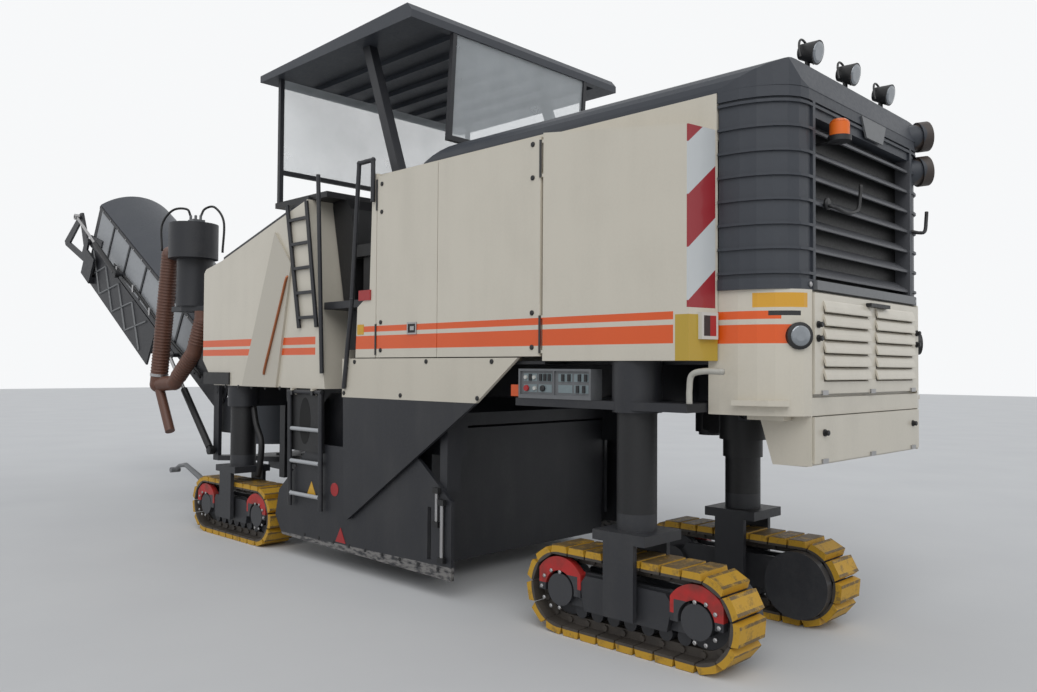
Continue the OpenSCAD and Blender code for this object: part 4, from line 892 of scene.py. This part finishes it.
def conveyor_look(place, x, y, z):
    made = charcoal_paint(place, x, y, z)
    u, w = belt_coordinates(x, z)
    wall = abs(y).between(0.5185, 0.5205) * u.between(0.76, 4.48) * w.between(-0.21, 0.275)
    zinc = place.noise(25.0, 5.0).mix((0.40, 0.41, 0.42), (0.28, 0.29, 0.30))
    made["Base Color"] = wall.mix(made["Base Color"], zinc)
    belt = (abs(y) < 0.48) * w.between(-0.065, 0.045) * (u > 0.05)
    made["Base Color"] = belt.mix(made["Base Color"], (0.012, 0.012, 0.013))
    return made


dress(material("conveyor_paint", conveyor_look), "conveyor_main")
TIP_SIDE = 0.519
TIP_TAIL, TIP_HEAD = 1.98, 4.57
BRACE_LOW, BRACE_HIGH = -0.784, -0.344
BAY = 0.55
braces = []
for start in np.arange(TIP_TAIL + 0.30, TIP_HEAD - 0.60, BAY):
    for first, second in ((BRACE_LOW, BRACE_HIGH), (BRACE_HIGH, BRACE_LOW)):
        brace = np.linspace(belt_place(start, TIP_SIDE, first), belt_place(start + BAY, TIP_SIDE, second), 3)
        braces += both(pipe(brace, 0.014, 6, LEFT))
add("tip_braces", braces, grey_metal, "conveyor_tip")
studs = turned([belt_place(u, 0.5339, 0.300) for u in np.arange(0.25, 4.5, 0.32)], LEFT,
               ((0.0, 0.012), (0.006, 0.012), (0.008, 0.008)), 8)
add("conveyor_bolts", both(studs), steel, "conveyor_main")


def sag(u):
    """How far a hose along the conveyor hangs off its line."""
    return 0.02 * math.sin(u * 3.0)


hose = [belt_place(u, 0.548, -0.16 + sag(u)) for u in np.linspace(0.5, 3.6, 24)]
upper_hose = [point + ACROSS * 0.035 for point in hose]
add("conveyor_hoses", both(pipe(hose, 0.013, 8, LEFT), pipe(upper_hose, 0.013, 8, LEFT)), black_paint,
    "conveyor_main", smooth=True)
clips = []
for u in np.arange(0.9, 3.6, 0.64):
    x, _, z = belt_place(u, 0.0, -0.15 + sag(u))
    clips.append(slabs((x - 0.02, 0.519, z - 0.05, x + 0.02, 0.563, z + 0.05)))
add("conveyor_clips", both(*clips), steel, "conveyor_main")

# Suction hoses
# Ribbed hoses in brown plastic, drawn over their spigots and held by bright clamps.
def hose_look(place, x, y, z):
    fine = place.noise(50.0, 4.0)
    return {"Base Color": fine.mix((0.15, 0.060, 0.035), (0.085, 0.038, 0.025)), "Roughness": 0.5}


hose_brown = material("hose_brown", hose_look)
dress(hose_brown, "suction_hoses")
HOSE_R = 0.095
RIB_PITCH = 0.036
HOSE_LINES = (((7.91, 0.86, 2.97), (8.09, 0.90, 1.44), HOSE_R),
              ((7.28, 0.76, 2.17), (7.40, 0.80, 1.80), HOSE_R - 0.010),
              ((7.40, 0.80, 1.80), (7.75, 0.86, 1.46), HOSE_R - 0.010))
ribs = []
for start, end, radius in HOSE_LINES:
    start, end = np.array(start), np.array(end)
    length = float(np.linalg.norm(end - start))
    steps = np.arange(0.5 * RIB_PITCH, length - 0.09, RIB_PITCH)
    rib = ((-0.013, radius - 0.002), (-0.006, radius + 0.006), (0.006, radius + 0.006), (0.013, radius - 0.002))
    ribs.append(turned(start + steps[:, None] * unit(end - start), end - start, rib, 24))
add("hose_ribs", ribs, hose_brown, "slew", smooth=True)

# Fan of the suction unit
# A valve block with fittings and looped hoses on top of the fan's drum, and a clamp round its hose.
valve_blocks = slabs((7.33, 0.72, 3.225, 7.47, 0.86, 3.330), (7.50, 0.80, 3.225, 7.58, 0.92, 3.290))
fittings = turned([(7.36, 0.76, 3.33), (7.40, 0.80, 3.33), (7.44, 0.84, 3.33)], UP,
                  ((0.0, 0.015), (0.05, 0.015), (0.055, 0.010)))
add("fan_valves", [valve_blocks, fittings], grey_metal, "slew")
FAN_LOOPS = (((7.36, 0.76, 3.37), (7.34, 0.72, 3.46), (7.22, 0.66, 3.47), (7.12, 0.60, 3.30),
              (7.14, 0.60, 2.95)),
             ((7.44, 0.84, 3.37), (7.46, 0.88, 3.45), (7.60, 0.98, 3.44), (7.74, 1.04, 3.28),
              (7.73, 1.04, 2.98)))
loops = [pipe(curve(points, 36), 0.013, 8, (1.0, -0.6, 0.1)) for points in FAN_LOOPS]
add("fan_loops", loops, black_paint, "slew", smooth=True)
clamp = turned([(8.078, 0.8973, 1.55)], (0.116, 0.0258, -0.985), ((-0.016, 0.1035), (0.016, 0.1035)), 24)
add("hose_clamps", [clamp], steel, "slew")
